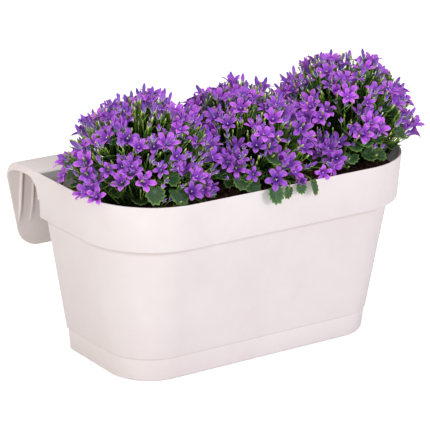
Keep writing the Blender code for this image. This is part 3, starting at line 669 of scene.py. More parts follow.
def leaf_skin():
    """Dark green leaf, paler along its veins and at its toothed edge."""
    material, tree, shader = surface("leaf_green", 0.45, 0.05, (0.0015, 0.003, 0.0005), 0.4)
    edge = attribute(tree, "edge")
    vein = attribute(tree, "vein")
    flesh = ramp(tree, edge, (0.0, 84, 108, 62), (0.3, 50, 76, 44), (0.85, 54, 82, 40), (1.0, 112, 138, 58))
    veined = blend(tree, mask(tree, vein, 0.0, 0.22, 0.35, 0.0), flesh, seen(112, 138, 84))
    patches = mottle(tree, 120.0, 700.0, 0.5)
    colour = blend(tree, mask(tree, patches, 0.0, 1.0, 0.35, 0.0), veined, seen(34, 52, 28))
    coloured(tree, shader, own_tone(tree, colour, 0.04, 0.9))
    bumped(tree, shader, vein, 0.4, 0.0006)
    return material


def stem_skin():
    """Green stems and calyxes, from near-black at the root, which is painted shade from deep in the plant, to
    their own pale yellow-green at the tip.
    """
    material, tree, shader = surface("stem_green", 0.5, 0.05, (0.001, 0.002, 0.0004), 0.3)
    # The near-black low on the ramp is painted shade from deep in the plant; the pale tips are the stems' own
    # colour
    colour = ramp(tree, attribute(tree, "along"), (0.0, 10, 18, 7), (0.3, 46, 70, 22), (0.6, 106, 140, 44),
                  (0.85, 164, 186, 78), (1.0, 222, 220, 156))
    coloured(tree, shader, own_tone(tree, colour, 0.04, 0.8))
    bumped(tree, shader, mottle(tree, 300.0, 2500.0, 0.5), 0.25, 0.0003)
    return material


def bell_skin():
    """Violet petal: deeper down its tube, paler to its tip, with a dark mid-vein and a pinkish edge."""
    material, tree, shader = surface("bell_violet", 0.6, 0.10, (0.0008, 0.0003, 0.001), 0.15)
    along = attribute(tree, "along")
    edge = attribute(tree, "edge")
    outside = ramp(tree, along, (0.0, 150, 98, 182), (0.2, 156, 86, 200), (0.5, 172, 90, 210),
                   (1.0, 190, 110, 216))
    inside = ramp(tree, along, (0.25, 144, 70, 186), (0.5, 158, 78, 196), (0.7, 178, 94, 212),
                  (1.0, 196, 117, 218))
    flesh = blend(tree, attribute(tree, "inner"), outside, inside)
    veined = blend(tree, mask(tree, edge, 0.0, 0.25, 0.6, 0.0), flesh, seen(130, 52, 180))
    beyond_tube = mask(tree, along, 0.5, 0.62)
    margin = times(tree, mask(tree, edge, 0.7, 1.0, 0.0, 0.75), beyond_tube)
    colour = blend(tree, margin, veined, seen(204, 134, 216))
    coloured(tree, shader, own_tone(tree, colour, 0.03, 0.45))
    bumped(tree, shader, mottle(tree, 500.0, 3000.0, 0.4), 0.15, 0.0002)
    return material


def bud_skin():
    """Closed bud: green at its foot, lilac in its middle and violet at its tip."""
    material, tree, shader = surface("bud_violet", 0.55, 0.08, (0.0006, 0.0003, 0.0008), 0.15)
    colour = ramp(tree, attribute(tree, "along"), (0.0, 136, 136, 92), (0.2, 164, 126, 198),
                  (0.6, 160, 100, 208), (1.0, 132, 62, 186))
    coloured(tree, shader, own_tone(tree, colour, 0.04, 0.6))
    return material


def pistil_skin():
    """Pistil: violet at its foot and pale at its tip."""
    material, tree, shader = surface("pistil_pale", 0.55)
    coloured(tree, shader, ramp(tree, attribute(tree, "along"), (0.0, 130, 76, 170), (1.0, 158, 128, 138)))
    return material


def shade_skin():
    """The tangle of stems and small leaves inside a plant, near-black with painted shade."""
    material, tree, shader = surface("inner_shade", 0.9, shine=0.05)
    tangle = mottle(tree, 140.0, 600.0, 0.6)
    # Near-black to dark green: painted shade inside the plant
    coloured(tree, shader, ramp(tree, tangle, (0.0, 12, 20, 8), (0.6, 26, 38, 16), (1.0, 52, 68, 30)))
    bumped(tree, shader, tangle, 1.0, 0.004)
    return material


def floor_paint():
    """White studio floor that glows for the camera, as a lit sweep does."""
    material, tree, shader = surface("floor_white", 0.9)
    colour = ramp(tree, mottle(tree, 3.0, 40.0, 0.2), (0.0, 236, 236, 236), (1.0, 242, 242, 242))
    coloured(tree, shader, colour)
    tree.links.new(colour, shader.inputs["Emission Color"])
    tree.links.new(times(tree, node(tree, "LightPath").outputs["Is Camera Ray"], 0.6),
                   shader.inputs["Emission Strength"])
    return material


# Templates: one of each thing that repeats


def turned(name, sides, rows, skin, furrow=1.0):
    """A closed spindle through rows of height and radius. A furrow under 1 draws every second side in."""
    bare()
    height, radius = rows[0]
    bpy.ops.mesh.primitive_circle_add(vertices=sides, radius=radius, fill_type="NGON",
                                      location=(0, 0, height))
    piece = newest(name)
    settle(piece)
    open_mesh(piece)
    pick_all()
    pull_rows(rows)
    if furrow < 1:
        step = math.tau / sides
        pick(lambda place: round((math.atan2(place.y, place.x) - math.pi / 2) / step) % 2 == 1)
        resize((furrow, furrow, 1), (0, 0, 0))
    face_out()
    close_mesh()
    rise_along(piece.data)
    dress(piece, skin)
    piece.data.shade_smooth()
    return piece


def mark_rows(mesh, columns, lengthwise):
    """Note how far along a petal, and how far from its mid-vein, each point of its grid lies."""
    along = []
    edge = []
    for row, share in enumerate(lengthwise):
        points = [mesh.vertices[row * columns + i].co for i in range(columns)]
        widest = max(abs(point.y) for point in points)
        along += [share] * columns
        edge += [abs(point.y) / widest for point in points]
    note(mesh, "along", along)
    note(mesh, "edge", edge)


def bell_template(name, petal, skin):
    """A bell: one fifth of its tube with one petal, spun round to five and given its thickness."""
    bare()
    bpy.ops.mesh.primitive_circle_add(vertices=PETALS * PETAL_COLUMNS, radius=TUBE[0][1])
    bell = newest(name)
    half = math.pi / PETALS
    open_mesh(bell)
    pick(lambda place: abs(math.atan2(place.y, place.x)) > half + 0.01)
    bpy.ops.mesh.delete(type="VERT")
    bpy.ops.mesh.select_mode(type="VERT")
    pick_all()
    pull_rows(TUBE)
    height, reach = TUBE[-1]
    width = reach * math.sin(half)
    for next_reach, next_height, next_width in petal:
        pull((next_reach - reach, 0, next_height - height))
        resize((0.5, next_width / width, 1), (next_reach, 0, next_height))
        reach, height, width = next_reach, next_height, next_width
    close_mesh()
    lengthwise = [0.5 * place / TUBE[-1][0] for place, _ in TUBE]
    lengthwise += [0.5 + 0.5 * (i + 1) / len(petal) for i in range(len(petal))]
    mark_rows(bell.data, PETAL_COLUMNS + 1, lengthwise)
    open_mesh(bell)
    pick(lambda place: abs(place.y) < 1e-5 and place.x > petal[0][0] - 0.0001)
    bpy.ops.transform.translate(value=(0, 0, -KEEL))
    pick_all()
    bpy.ops.mesh.spin(steps=PETALS - 1, dupli=True, angle=math.tau * (PETALS - 1) / PETALS, center=(0, 0, 0),
                      axis=(0, 0, 1))
    pick_all()
    bpy.ops.mesh.remove_doubles(threshold=1e-5)
    face_out()
    close_mesh()
    count = len(bell.data.vertices)
    apply(bell, "SOLIDIFY", thickness=PETAL_THICKNESS, offset=0)
    mark_inner(bell.data, count)
    dress(bell, skin)
    bell.data.shade_smooth()
    return bell


def mark_inner(mesh, count):
    """Note which of the two skins of a bell faces its throat."""
    first, second = mesh.vertices[0].co, mesh.vertices[count].co
    first_is_inner = Vector((first.x, first.y)).length < Vector((second.x, second.y)).length
    note(mesh, "inner", [1.0 - (i >= count) if first_is_inner else float(i >= count)
                         for i in range(len(mesh.vertices))])


def pistil_template(skin):
    """The pistil in a bell's throat, with its tip parted in three."""
    parts = [turned("pistil", 5, PISTIL, skin)]
    for k in range(3):
        angle = math.tau * k / 3
        out = polar(0.77, angle, 0.64)
        middle = Vector((0, 0, STIGMA_HEIGHT)) + out * 0.0009
        parts.append(spike("stigma", 4, (0.0004, 0.0002), middle, out, STIGMA_LENGTH))
    pistil = join(parts, "pistil_template")
    settle(pistil)
    rise_along(pistil.data)
    return pistil


def calyx_template(skin):
    """The green cup under a bell, with five narrow sepals along its tube."""
    parts = [turned("ovary", 6, OVARY, skin)]
    for k in range(PETALS):
        angle = math.tau * (k + 0.5) / PETALS
        foot, tip = [polar(radius, angle, height) for height, radius in SEPAL]
        way = tip - foot
        parts.append(spike("sepal", 3, (0.0009, 0.0001), (foot + tip) / 2, way, way.length))
    calyx = join(parts, "calyx_template")
    settle(calyx)
    rise_along(calyx.data, 0.55, 0.85)
    smooth(calyx, 50)
    return calyx


def bract_template(skin):
    """A narrow pointed leaf that stands on a stem."""
    bare()
    bract = spike("bract_template", 4, (0.0016, 0.0001), (0, 0, BRACT_LENGTH / 2), UP, BRACT_LENGTH)
    bract.scale = (1, 0.25, 1)
    settle(bract)
    rise_along(bract.data, 0.35, 0.75)
    dress(bract, skin)
    return bract


def leaf_outline(spoke):
    """The edge of a leaf blade one unit in radius: rounded, notched at its stalk and toothed."""
    angle = math.tau * spoke / LEAF_SPOKES
    from_tip = abs(math.remainder(angle - math.pi / 2, math.tau))
    from_foot = math.pi - from_tip
    notch = LEAF_NOTCH[0] * math.exp(-((from_foot / LEAF_NOTCH[1]) ** 2))
    point = LEAF_POINT[0] * math.exp(-((from_tip / LEAF_POINT[1]) ** 2))
    tooth = LEAF_TEETH[spoke % 3] * (0.5 + scatter(spoke // 3, 3))
    radius = 1 - notch + point + tooth * (1 - 1.4 * notch)
    return polar(radius, angle)


def leaf_template(name, cup, fold, skin):
    """A toothed round leaf in rings round the foot of its stalk, cupped and folded a little."""
    bare()
    bpy.ops.mesh.primitive_circle_add(vertices=LEAF_SPOKES, radius=1, fill_type="TRIFAN")
    leaf = newest(name)
    open_mesh(leaf)
    pick(lambda place: True, "FACE")
    bpy.ops.mesh.inset(thickness=0.25, use_boundary=True)
    pick(lambda place: place.length < 0.75, "FACE")
    bpy.ops.mesh.inset(thickness=0.25, use_boundary=True)
    close_mesh()
    foot = Vector((0, LEAF_STALK_END, 0))
    edge = []
    vein = []
    for vertex in leaf.data.vertices:
        ring = (0, 0, 1, 2, 3)[round(vertex.co.length * 4)]
        spoke = round(math.atan2(vertex.co.y, vertex.co.x) / (math.tau / LEAF_SPOKES)) % LEAF_SPOKES
        share = LEAF_RINGS[ring]
        place = foot.lerp(leaf_outline(spoke), share)
        on_vein = spoke % 3 == 2 or ring == 0
        wave = LEAF_WAVE * math.sin(math.tau * spoke / 12 + 9 * fold) * share ** 2
        place.z = cup * share ** 2 + fold * abs(place.x) + wave + (0.0 if on_vein else LEAF_PUFF * share)
        vertex.co = place - foot
        edge.append(share)
        vein.append(0.0 if on_vein else 1.0)
    note(leaf.data, "edge", edge)
    note(leaf.data, "vein", vein)
    open_mesh(leaf)
    pick_all()
    resize([LEAF_WIDTH / 2] * 3, (0, 0, 0))
    face_out()
    close_mesh()
    apply(leaf, "SOLIDIFY", thickness=LEAF_THICKNESS, offset=-1)
    dress(leaf, skin)
    leaf.data.shade_smooth()
    return leaf


# Where things grow, by the same rule as the frame's solids


def dome_value(clump, point, shrink=0.0):
    """Under 1 inside the clump's dome and over 1 outside it."""
    across = abs((point.x - clump.x) / (clump.half_x - shrink)) ** clump.power
    deep = abs((point.y - clump.y) / (clump.half_y - shrink)) ** clump.power
    tall = abs((point.z - DOME_FOOT) / (clump.height - shrink)) ** clump.power
    return (across + deep + tall) ** (1 / clump.power)


def dome_point(clump, height_share, angle, shrink=0.0):
    """The point of the dome in a direction, and the dome's outward normal there."""
    level = math.sqrt(1 - height_share ** 2)
    centre = Vector((clump.x, clump.y, DOME_FOOT))
    ray = polar(level, angle, height_share)
    ray.x *= clump.half_x
    ray.y *= clump.half_y
    ray.z *= clump.height
    point = centre + ray / dome_value(clump, centre + ray)
    offset = point - centre
    halves = (clump.half_x, clump.half_y, clump.height)
    slope = [abs(offset[k] / halves[k]) ** (clump.power - 1) / halves[k] for k in range(3)]
    normal = Vector([math.copysign(slope[k], offset[k]) for k in range(3)]).normalized()
    return point - normal * shrink, normal


def in_a_neighbour(clump, point, clear=NEIGHBOUR_CLEAR):
    """Whether a point lies inside the dome of another plant."""
    return any(dome_value(other, point) < clear for other in CLUMPS if other is not clump)


def spray_places(clump):
    """Each spray's number, root and axis, over the part of the dome that shows."""
    for i in range(clump.sprays):
        share = 1 - (1 - LOWEST_SPRAY) * (i + 0.5) / clump.sprays
        point, normal = dome_point(clump, share, clump.turn + GOLDEN_ANGLE * i)
        if in_a_neighbour(clump, point):
            continue
        axis = (normal + Vector((0, 0, UPWARD_LEAN))).normalized()
        yield i, point - axis * STALK_LENGTH, axis


def within(section, place, clear):
    """Whether a place lies inside a section's outline, clear of it by a distance."""
    if place.y > section.back - clear:
        return False
    from_side = abs(place.x) - section.length / 2 + section.radius
    corner = Vector((from_side, section.front + section.radius - place.y))
    if min(corner) > 0:
        return corner.length < section.radius - clear
    return max(corner) < section.radius - clear


def frame_along(axis, spin=0.0):
    """A rotation whose Z is the axis."""
    return axis.to_track_quat("Z", "Y").to_matrix() @ Matrix.Rotation(spin, 3, "Z")


def tilted(base, tilt, angle):
    """A way that leans from a frame's Z by a tilt, towards an angle round it."""
    return base @ polar(math.sin(tilt), angle, math.cos(tilt))


def bells_of(number, root, axis, turn=0.0):
    """The stalk's way, the facing, the spin and the radius of each bell in a spray, the middle one first."""
    base = frame_along(axis, turn + math.tau * scatter(number, 1))
    for k in range(SIDE_BELLS + 1):
        spread = BELL_SPREAD * (1 + SPREAD_VARIATION * (scatter(number, 10 + k) - 0.5))
        tilt = MIDDLE_TILT if k == 0 else spread
        round_angle = math.tau * k / SIDE_BELLS + ROUND_VARIATION * (scatter(number, 20 + k) - 0.5)
        way = tilted(base, tilt, round_angle)
        way.z += max(0, LOWEST_BELL - root.z - STALK_LENGTH * way.z) / STALK_LENGTH
        way.normalize()
        facing = (way.lerp(axis, BELL_TURN_BACK) + Vector((0, 0, BELL_UPTURN))).normalized()
        radius = BELL_RADIUS * (1 + BELL_VARIATION * (scatter(number, 30 + k) - 0.5))
        yield way, facing, math.tau * scatter(number, 40 + k), radius


def petal_tips(number, root, axis, turn, scale):
    """The tips of all the petals of a spray in the frame."""
    for way, facing, spin, radius in bells_of(number, root, axis, turn):
        rotation = frame_along(facing, spin)
        centre = root + way * STALK_LENGTH
        for k in range(PETALS):
            tip = polar(1, math.tau * k / PETALS, PETAL_LIFT) * (radius * scale)
            yield centre + rotation @ tip


def misfit(box, tips):
    """How far the tips' top and sides are from a node's box."""
    low, high = box
    tips = list(tips)
    wrong = abs(max(tip.z for tip in tips) - high.z)
    for k in (0, 1):
        wrong += abs(max(tip[k] for tip in tips) - high[k]) + abs(min(tip[k] for tip in tips) - low[k])
    return wrong


def sprays_of(clump):
    """Each spray as the frame's solid has it: its number, root, axis, turn and size."""
    nodes = sorted(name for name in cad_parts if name.startswith(clump.name + "_spray"))
    for name, (number, root, axis) in zip(nodes, spray_places(clump)):
        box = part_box(name)
        turn, scale, sink = min(SPRAY_FITS, key=lambda fit: misfit(
            box, petal_tips(number, root - axis * fit[2], axis, fit[0], fit[1])))
        yield number, root - axis * sink, axis, turn, scale


def stand(template, foot, way, spin, size, tone):
    """A copy of a template with its Z along a way."""
    rotation = frame_along(way, spin).to_4x4()
    return copy_at(template, Matrix.Translation(foot) @ rotation @ Matrix.Scale(size, 4), tone)


def lay_leaf(template, foot, along, face, size, tone):
    """A copy of a leaf with its stalk's end at foot, its blade along a way and its face turned to another."""
    along = along.normalized()
    side = along.cross(face).normalized()
    face = side.cross(along)
    matrix = Matrix((side, along, face)).transposed().to_4x4()
    return copy_at(template, Matrix.Translation(foot) @ matrix @ Matrix.Scale(size / LEAF_WIDTH, 4), tone)


def around(place, spread, seed, channel):
    """A place moved by up to half the spread each way."""
    return place + Vector([spread * (scatter(seed, channel + k) - 0.5) for k in range(3)])


class Plant:
    """One plant while it grows: its violet and its green pieces."""

    def __init__(self, clump):
        self.clump = clump
        self.order = CLUMPS.index(clump)
        self.violet = []
        self.green = []

    def stem(self, kind, start, knee, end, tone):
        """A stem of a kind, bent from start to end by way of the knee."""
        piece = copy_at(REED_STEM, Matrix.Identity(4), tone)
        rings = {}
        along = []
        for vertex in piece.data.vertices:
            t = round(vertex.co.z, 3)
            if t not in rings:
                place = start * (1 - t) ** 2 + knee * (2 * t * (1 - t)) + end * t ** 2
                heading = ((knee - start) * (1 - t) + (end - knee) * t).normalized()
                rings[t] = place, frame_along(heading) * (kind.foot + (kind.tip - kind.foot) * t)
            place, turn = rings[t]
            vertex.co = place + turn @ Vector((vertex.co.x, vertex.co.y, 0))
            along.append(kind.low + (kind.high - kind.low) * t)
        note(piece.data, "along", along)
        self.green.append(piece)

    def bloom(self, root, centre, facing, spin, size, seed):
        """One bell with its pistil, calyx and stalk."""
        share = scatter(seed, 61)
        shape = next(name for name, most in BELL_SHARES if share <= most)
        foot = centre - facing * TIP_HEIGHT * size
        tone = scatter(seed, 62)
        self.violet.append(stand(BELLS[shape], foot, facing, spin, size, tone))
        if shape != "opening":
            self.violet.append(stand(PISTIL_PIECE, foot, facing, spin, size, tone))
        self.green.append(stand(CALYX, foot, facing, spin, size, scatter(seed, 63)))
        end = foot - facing * 0.002 * size
        self.stem(BELL_STALK, root, end - facing * 0.004, end, scatter(seed, 64))

    def bud(self, root, way, length, size, seed):
        """One closed bud in its calyx on a stalk."""
        foot = root + way * length
        spin = math.tau * scatter(seed, 72)
        template = BIG_BUD_PIECE if scatter(seed, 71) < 0.5 else SMALL_BUD_PIECE
        self.violet.append(stand(template, foot, way, spin, size, scatter(seed, 73)))
        self.green.append(stand(CALYX, foot, way, spin, size * 0.75, scatter(seed, 75)))
        end = foot - way * 0.0015
        self.stem(BUD_STALK, root, root.lerp(end, 0.5) - UP * 0.001, end, scatter(seed, 76))

    def spray(self, number, root, axis, turn, scale):
        """All that one spray carries: the frame's four bells, smaller ones between them, and buds."""
        seed = number + 100 * self.order
        for k, (way, facing, spin, radius) in enumerate(bells_of(number, root, axis, turn)):
            centre = root + way * STALK_LENGTH
            self.bloom(root, centre, facing, spin, radius * scale / FULL_REACH, seed * 10 + k)
        base = frame_along(axis, turn + math.tau * scatter(number, 1))
        for k in range(SPRAY_EXTRAS):
            own_seed = seed * 10 + 5 + k
            way = tilted(base, math.radians(30 + 30 * scatter(seed, 83 + k)),
                         math.tau * (k + 0.5) / 3 + 0.8 * (scatter(seed, 80 + k) - 0.5))
            facing = (way.lerp(axis, 0.4) + UP * 0.3).normalized()
            reach = STALK_LENGTH * (0.75 + 0.35 * scatter(seed, 86 + k))
            if k < 1 and (self.order or root.z > LEFT_EXTRAS_ABOVE):
                size = scale * (0.74 + 0.22 * scatter(seed, 89 + k))
                self.bloom(root, root + way * reach, facing, math.tau * scatter(seed, 92 + k), size, own_seed)
            else:
                self.bud(root, facing, reach * 0.75, 0.8 + 0.3 * scatter(seed, 96 + k), own_seed)
        foot = root - axis * SPRAY_STEM_LENGTH - UP * 0.004
        self.stem(SPRAY_STEM, foot, root - axis * 0.012, root, scatter(seed, 95))

    def shoot(self, base, tip, way, seed):
        """A slim upright shoot, tipped with a bud or a young calyx."""
        self.stem(SHOOT_STEM, base, base.lerp(tip, 0.55) + UP * 0.003, tip, scatter(seed, 4))
        spin = math.tau * scatter(seed, 6)
        size = 0.8 + 0.4 * scatter(seed, 7)
        kind = scatter(seed, 5)
        if kind < 0.55:
            self.green.append(stand(YOUNG, tip, way, spin, size, scatter(seed, 8)))
        else:
            template = BIG_BUD_PIECE if kind > 0.85 else SMALL_BUD_PIECE
            self.violet.append(stand(template, tip, way, spin, size * 0.9, scatter(seed, 8)))
            self.green.append(stand(CALYX, tip, way, spin, size * 0.7, scatter(seed, 9)))
        side = tilted(frame_along(way, spin), math.radians(28), 0.0)
        self.green.append(stand(BRACT, base.lerp(tip, 0.45 + 0.4 * scatter(seed, 10)), side, spin, size,
                                scatter(seed, 11)))

    def shoots(self):
        """Fans of upright young shoots that fill the plant between its sprays."""
        clump = self.clump
        for i in range(SHOOT_FANS):
            seed = 7000 + i * 20 + 5000 * self.order
            share = 1.0 - 0.86 * (i + 0.5) / SHOOT_FANS
            point, normal = dome_point(clump, share, clump.turn + 0.9 + GOLDEN_ANGLE * i,
                                       0.010 if share > 0.75 else 0.007)
            if in_a_neighbour(clump, point):
                continue
            lean = (normal + UP * 0.9).normalized()
            base = point - lean * SHOOT_LENGTH
            for k in range(SHOOTS_EACH):
                way = around(lean, 0.55, seed + k, 12).normalized()
                tip = base + way * (SHOOT_LENGTH + 0.014 * (scatter(seed + k, 15) - 0.75))
                if tip.z > RIM.height + 0.018 or within(RIM, tip, 0.012):
                    self.shoot(around(base, 0.006, seed + k, 16), tip, way, seed + k)

    def leaves(self):
        """A skirt of larger leaves low down and smaller ones up among the stems."""
        clump = self.clump
        for i in range(SKIRT.count + UPPER.count):
            seed = 9000 + i + 700 * self.order
            row = SKIRT if i < SKIRT.count else UPPER
            share = row.share + row.share_range * scatter(seed, 1)
            depth = row.depth + row.depth_range * scatter(seed, 2)
            point, normal = dome_point(clump, share, clump.turn + 2.2 + GOLDEN_ANGLE * i, depth)
            if in_a_neighbour(clump, point, 0.8):
                continue
            along = around(normal + UP * (row.lift * scatter(seed, 3)), 0.8, seed, 4).normalized()
            face = UP + normal * row.turn
            size = row.length * (0.8 + 0.4 * scatter(seed, 6))
            foot = point - along * size * 0.5
            foot.z = max(foot.z, SOIL_TOP + 0.008)
            tip = foot + along * size * 0.8
            if tip.z < RIM.height + 0.004 and not within(RIM, tip, 0.006):
                continue
            self.green.append(lay_leaf(LEAVES[i % 3], foot, along, face, size, scatter(seed, 7)))
            inner = Vector((clump.x, clump.y, DOME_FOOT + 0.25 * clump.height)).lerp(foot, 0.45)
            self.stem(LEAF_STALK, inner, inner.lerp(foot, 0.5) + UP * 0.006, foot, scatter(seed, 8))

    def core(self):
        """The dense middle of the plant, a mass for its tangle of stems, near-black with painted shade."""
        bare()
        bpy.ops.mesh.primitive_uv_sphere_add(segments=40, ring_count=24, radius=1)
        core = newest(self.clump.name + "_core")
        for vertex in core.data.vertices:
            ray = vertex.co.normalized()
            angle = math.atan2(ray.y, ray.x)
            point, normal = dome_point(self.clump, max(0.0, min(ray.z, 1.0)), angle, CORE_DEPTH)
            if ray.z < 0:
                level = math.sqrt(1 - ray.z ** 2)
                point.x = self.clump.x + (point.x - self.clump.x) * level
                point.y = self.clump.y + (point.y - self.clump.y) * level
                point.z = DOME_FOOT + CORE_SAG * ray.z
            vertex.co = point + normal * CORE_ROUGHNESS * scatter(vertex.index, 2) * max(0.2, ray.z)
            vertex.co.z += CORE_LIFT
        dress(core, SHADE_SKIN)
        core.data.shade_smooth()
        self.green.append(core)

    def main_stems(self):
        """The stout stems that come up out of the soil."""
        for i in range(MAIN_STEMS):
            ring = polar(STEM_RING, self.clump.turn + math.tau * i / MAIN_STEMS)
            start = ring + Vector((self.clump.x, self.clump.y, SOIL_TOP - 0.02))
            end = Vector((start.x, start.y, DOME_FOOT + 0.02))
            self.stem(MAIN_STEM, start, start.lerp(end, 0.5), end, 0.4)

    def rim_leaves(self):
        """Leaves on runners that reach over the front rim and hang before it."""
        for k, (x, size, stalk, way_x, face_x) in enumerate(RIM_LEAVES):
            root = Vector((x, RIM.front - RUNNER_REACH, RIM.height + RUNNER_RISE))
            way = Vector((way_x, -0.25, -1)).normalized()
            foot = root + way * stalk * size
            face = Vector((face_x, -1, 0.25))
            self.green.append(lay_leaf(LEAVES[k % 3], foot, way, face, size, 0.9 - 0.2 * (k % 2)))
            self.stem(RIM_STALK, root, root.lerp(foot, 0.5), foot, 0.6)
            self.stem(RUNNER, self.inside(x, 0.6, 0.034, 0.243), root + Vector((0, 0.016, 0.004)), root, 0.6)

    def front_growth(self):
        """The blooms and large leaves that show low at the front."""
        for k, (place, facing, size) in enumerate(FRONT_BLOOMS):
            place = Vector(place)
            if self.nearest(place.x):
                facing = Vector(facing).normalized()
                foot = place - facing * TIP_HEIGHT * size
                root = self.inside(foot.x, 0.7, 0.045, 0.238)
                self.bloom(root, place, facing, math.tau * scatter(k, 50), size, 60 + k)
        for k, (place, way, size) in enumerate(FRONT_LEAVES):
            place = Vector(place)
            if self.nearest(place.x):
                way = Vector(way).normalized()
                foot = place - way * 0.45 * size
                out = Vector((place.x - self.clump.x, place.y - self.clump.y, 0)).normalized()
                self.green.append(lay_leaf(LEAVES[k % 3], foot, way, out + 0.9 * UP, size,
                                           0.55 + 0.4 * scatter(k, 51)))
                inner = self.inside(foot.x, 0.6, 0.04, 0.240)
                self.stem(FRONT_STALK, inner, inner.lerp(foot, 0.6) + UP * 0.006, foot, 0.5)

    def inside(self, x, share, forward, height):
        """A place low in the plant, by a share of the way from its middle to a place along the planter."""
        return Vector((self.clump.x + share * (x - self.clump.x), self.clump.y - forward, height))

    def nearest(self, x):
        """Whether this plant is the one nearest to a place along the planter."""
        return min(CLUMPS, key=lambda clump: abs(clump.x - x)) is self.clump

    def finish(self):
        """Join the growth and the bells in two pieces that stand for the plant's nodes."""
        name = self.clump.name
        growth = join(self.green, name + "_growth")
        bells = join(self.violet, name + "_bells")
        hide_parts(name + "_foliage")
        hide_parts(*[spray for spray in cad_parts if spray.startswith(name + "_spray")])
        for piece in (growth, bells):
            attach(piece, "root")


def grow_plant(clump):
    """One whole plant."""
    plant = Plant(clump)
    plant.core()
    for spray in sprays_of(clump):
        plant.spray(*spray)
    plant.shoots()
    plant.leaves()
    plant.main_stems()
    plant.front_growth()
    if clump.name == "middle_plant":
        plant.rim_leaves()
    plant.finish()


# Planter and soil


def mix(low, high, share):
    """The section between two others."""
    return Section(*(a + (b - a) * share for a, b in zip(low, high)))


def at_height(low, high, height):
    """The section at a height between two others."""
    return mix(low, high, (height - low.height) / (high.height - low.height))


def inset(section, distance):
    """The same section drawn inwards."""
    return section._replace(
        length=section.length - 2 * distance,
        back=section.back - distance,
        front=section.front + distance,
        radius=section.radius - distance,
    )


def section_ring(section):
    """A section's outline as a loop of edges: a rectangle with rounded corners."""
    bare()
    middle = (section.back + section.front) / 2
    bpy.ops.mesh.primitive_plane_add(size=1, location=(0, middle, section.height))
    ring = newest("section")
    ring.scale = (section.length, section.back - section.front, 1)
    settle(ring)
    open_mesh(ring)
    pick(lambda place: place.y < middle)
    bpy.ops.mesh.bevel(offset=section.radius, segments=FRONT_SEGMENTS, affect="VERTICES")
    pick(lambda place: place.y > section.back - 1e-6)
    bpy.ops.mesh.bevel(offset=BACK_CORNER, segments=BACK_SEGMENTS, affect="VERTICES")
    pick_all()
    bpy.ops.mesh.delete(type="ONLY_FACE")
    close_mesh()
    return ring


def skin_through(sections, name, top):
    """A skin over sections from the lowest to the highest, closed below, and above if it has a top."""
    skin = join([section_ring(section) for section in sections], name)
    heights = [section.height for section in sections]
    open_mesh(skin)
    for low, high in zip(heights, heights[1:]):
        pick(lambda place: min(abs(place.z - low), abs(place.z - high)) < 2e-6, "EDGE")
        bpy.ops.mesh.bridge_edge_loops()
    for height in (heights[0], heights[-1])[:2 if top else 1]:
        pick(lambda place: abs(place.z - height) < 2e-6, "EDGE")
        bpy.ops.mesh.edge_face_add()
    face_out()
    close_mesh()
    floor = min(skin.data.polygons, key=lambda face: face.center.z)
    if floor.normal.z > 0:
        open_mesh(skin)
        pick_all()
        bpy.ops.mesh.flip_normals()
        close_mesh()
    return skin


def planter_sections():
    """The planter's outline from its foot's rounding over the step and the band to the rim."""
    rounding = 0.5 * BASE_ROUNDING
    ledge = BODY_TOP.height
    body = [(rise * rounding, inward * rounding) for rise, inward in ROUNDING_LINE]
    body += [(FOOT_HEIGHT + rise, inward) for rise, inward in STEP_LINE] + [(ledge - 0.0006, 0.0)]
    band = [(ledge + rise, inward) for rise, inward in BAND_LINE]
    band += [(RIM.height + rise, inward) for rise, inward in RIM_LINE]
    sections = [inset(at_height(BASE, BODY_TOP, height), inward) for height, inward in body]
    return sections + [inset(at_height(BAND_FOOT, RIM, height), inward) for height, inward in band]


def hook_line():
    """The hook's outer line in the YZ plane, from the rim over the bend to its foot."""
    foot = Vector((0, HOOK_FOOT_REACH, HOOK_FOOT_HEIGHT))
    shoulder = Vector((0, HOOK_REACH, HOOK_TOP - HOOK_BEND))
    depth = HOOK_BEND_DEPTH * HOOK_BEND
    flat_end = HOOK_REACH - depth - HOOK_TOP_EASE * HOOK_BEND
    points = [Vector((0, RIM.back - WALL, HOOK_TOP)), Vector((0, flat_end, HOOK_TOP))]
    for step in range(1, HOOK_BEND_STEPS + 1):
        angle = math.radians(90 * (1 - step / HOOK_BEND_STEPS))
        across = HOOK_REACH - depth + depth * math.cos(angle)
        points.append(Vector((0, across, HOOK_TOP - HOOK_BEND + HOOK_BEND * math.sin(angle))))
    return points + [shoulder.lerp(foot, share) for share in HOOK_FLANGE_ROWS]


def hook_ends(rise):
    """How far in from the hook's outer end its two sides stand, at a height above its foot."""
    flange = HOOK_TOP - HOOK_BEND - HOOK_FOOT_HEIGHT
    rise = max(0, rise)
    steep = math.sqrt(1 + HOOK_SIDE_SLANT ** 2)
    radius = HOOK_OUTER_ROUNDING
    outer = HOOK_SIDE_SLANT * max(0, flange - rise)
    if rise < radius * (1 - HOOK_SIDE_SLANT / steep):
        centre = radius * steep + HOOK_SIDE_SLANT * (flange - radius)
        outer = centre - math.sqrt(radius ** 2 - (radius - rise) ** 2)
    fall = max(0, HOOK_INNER_ROUNDING - rise)
    inner = HOOK_WIDTH - HOOK_INNER_ROUNDING + math.sqrt(HOOK_INNER_ROUNDING ** 2 - fall ** 2)
    return outer, inner


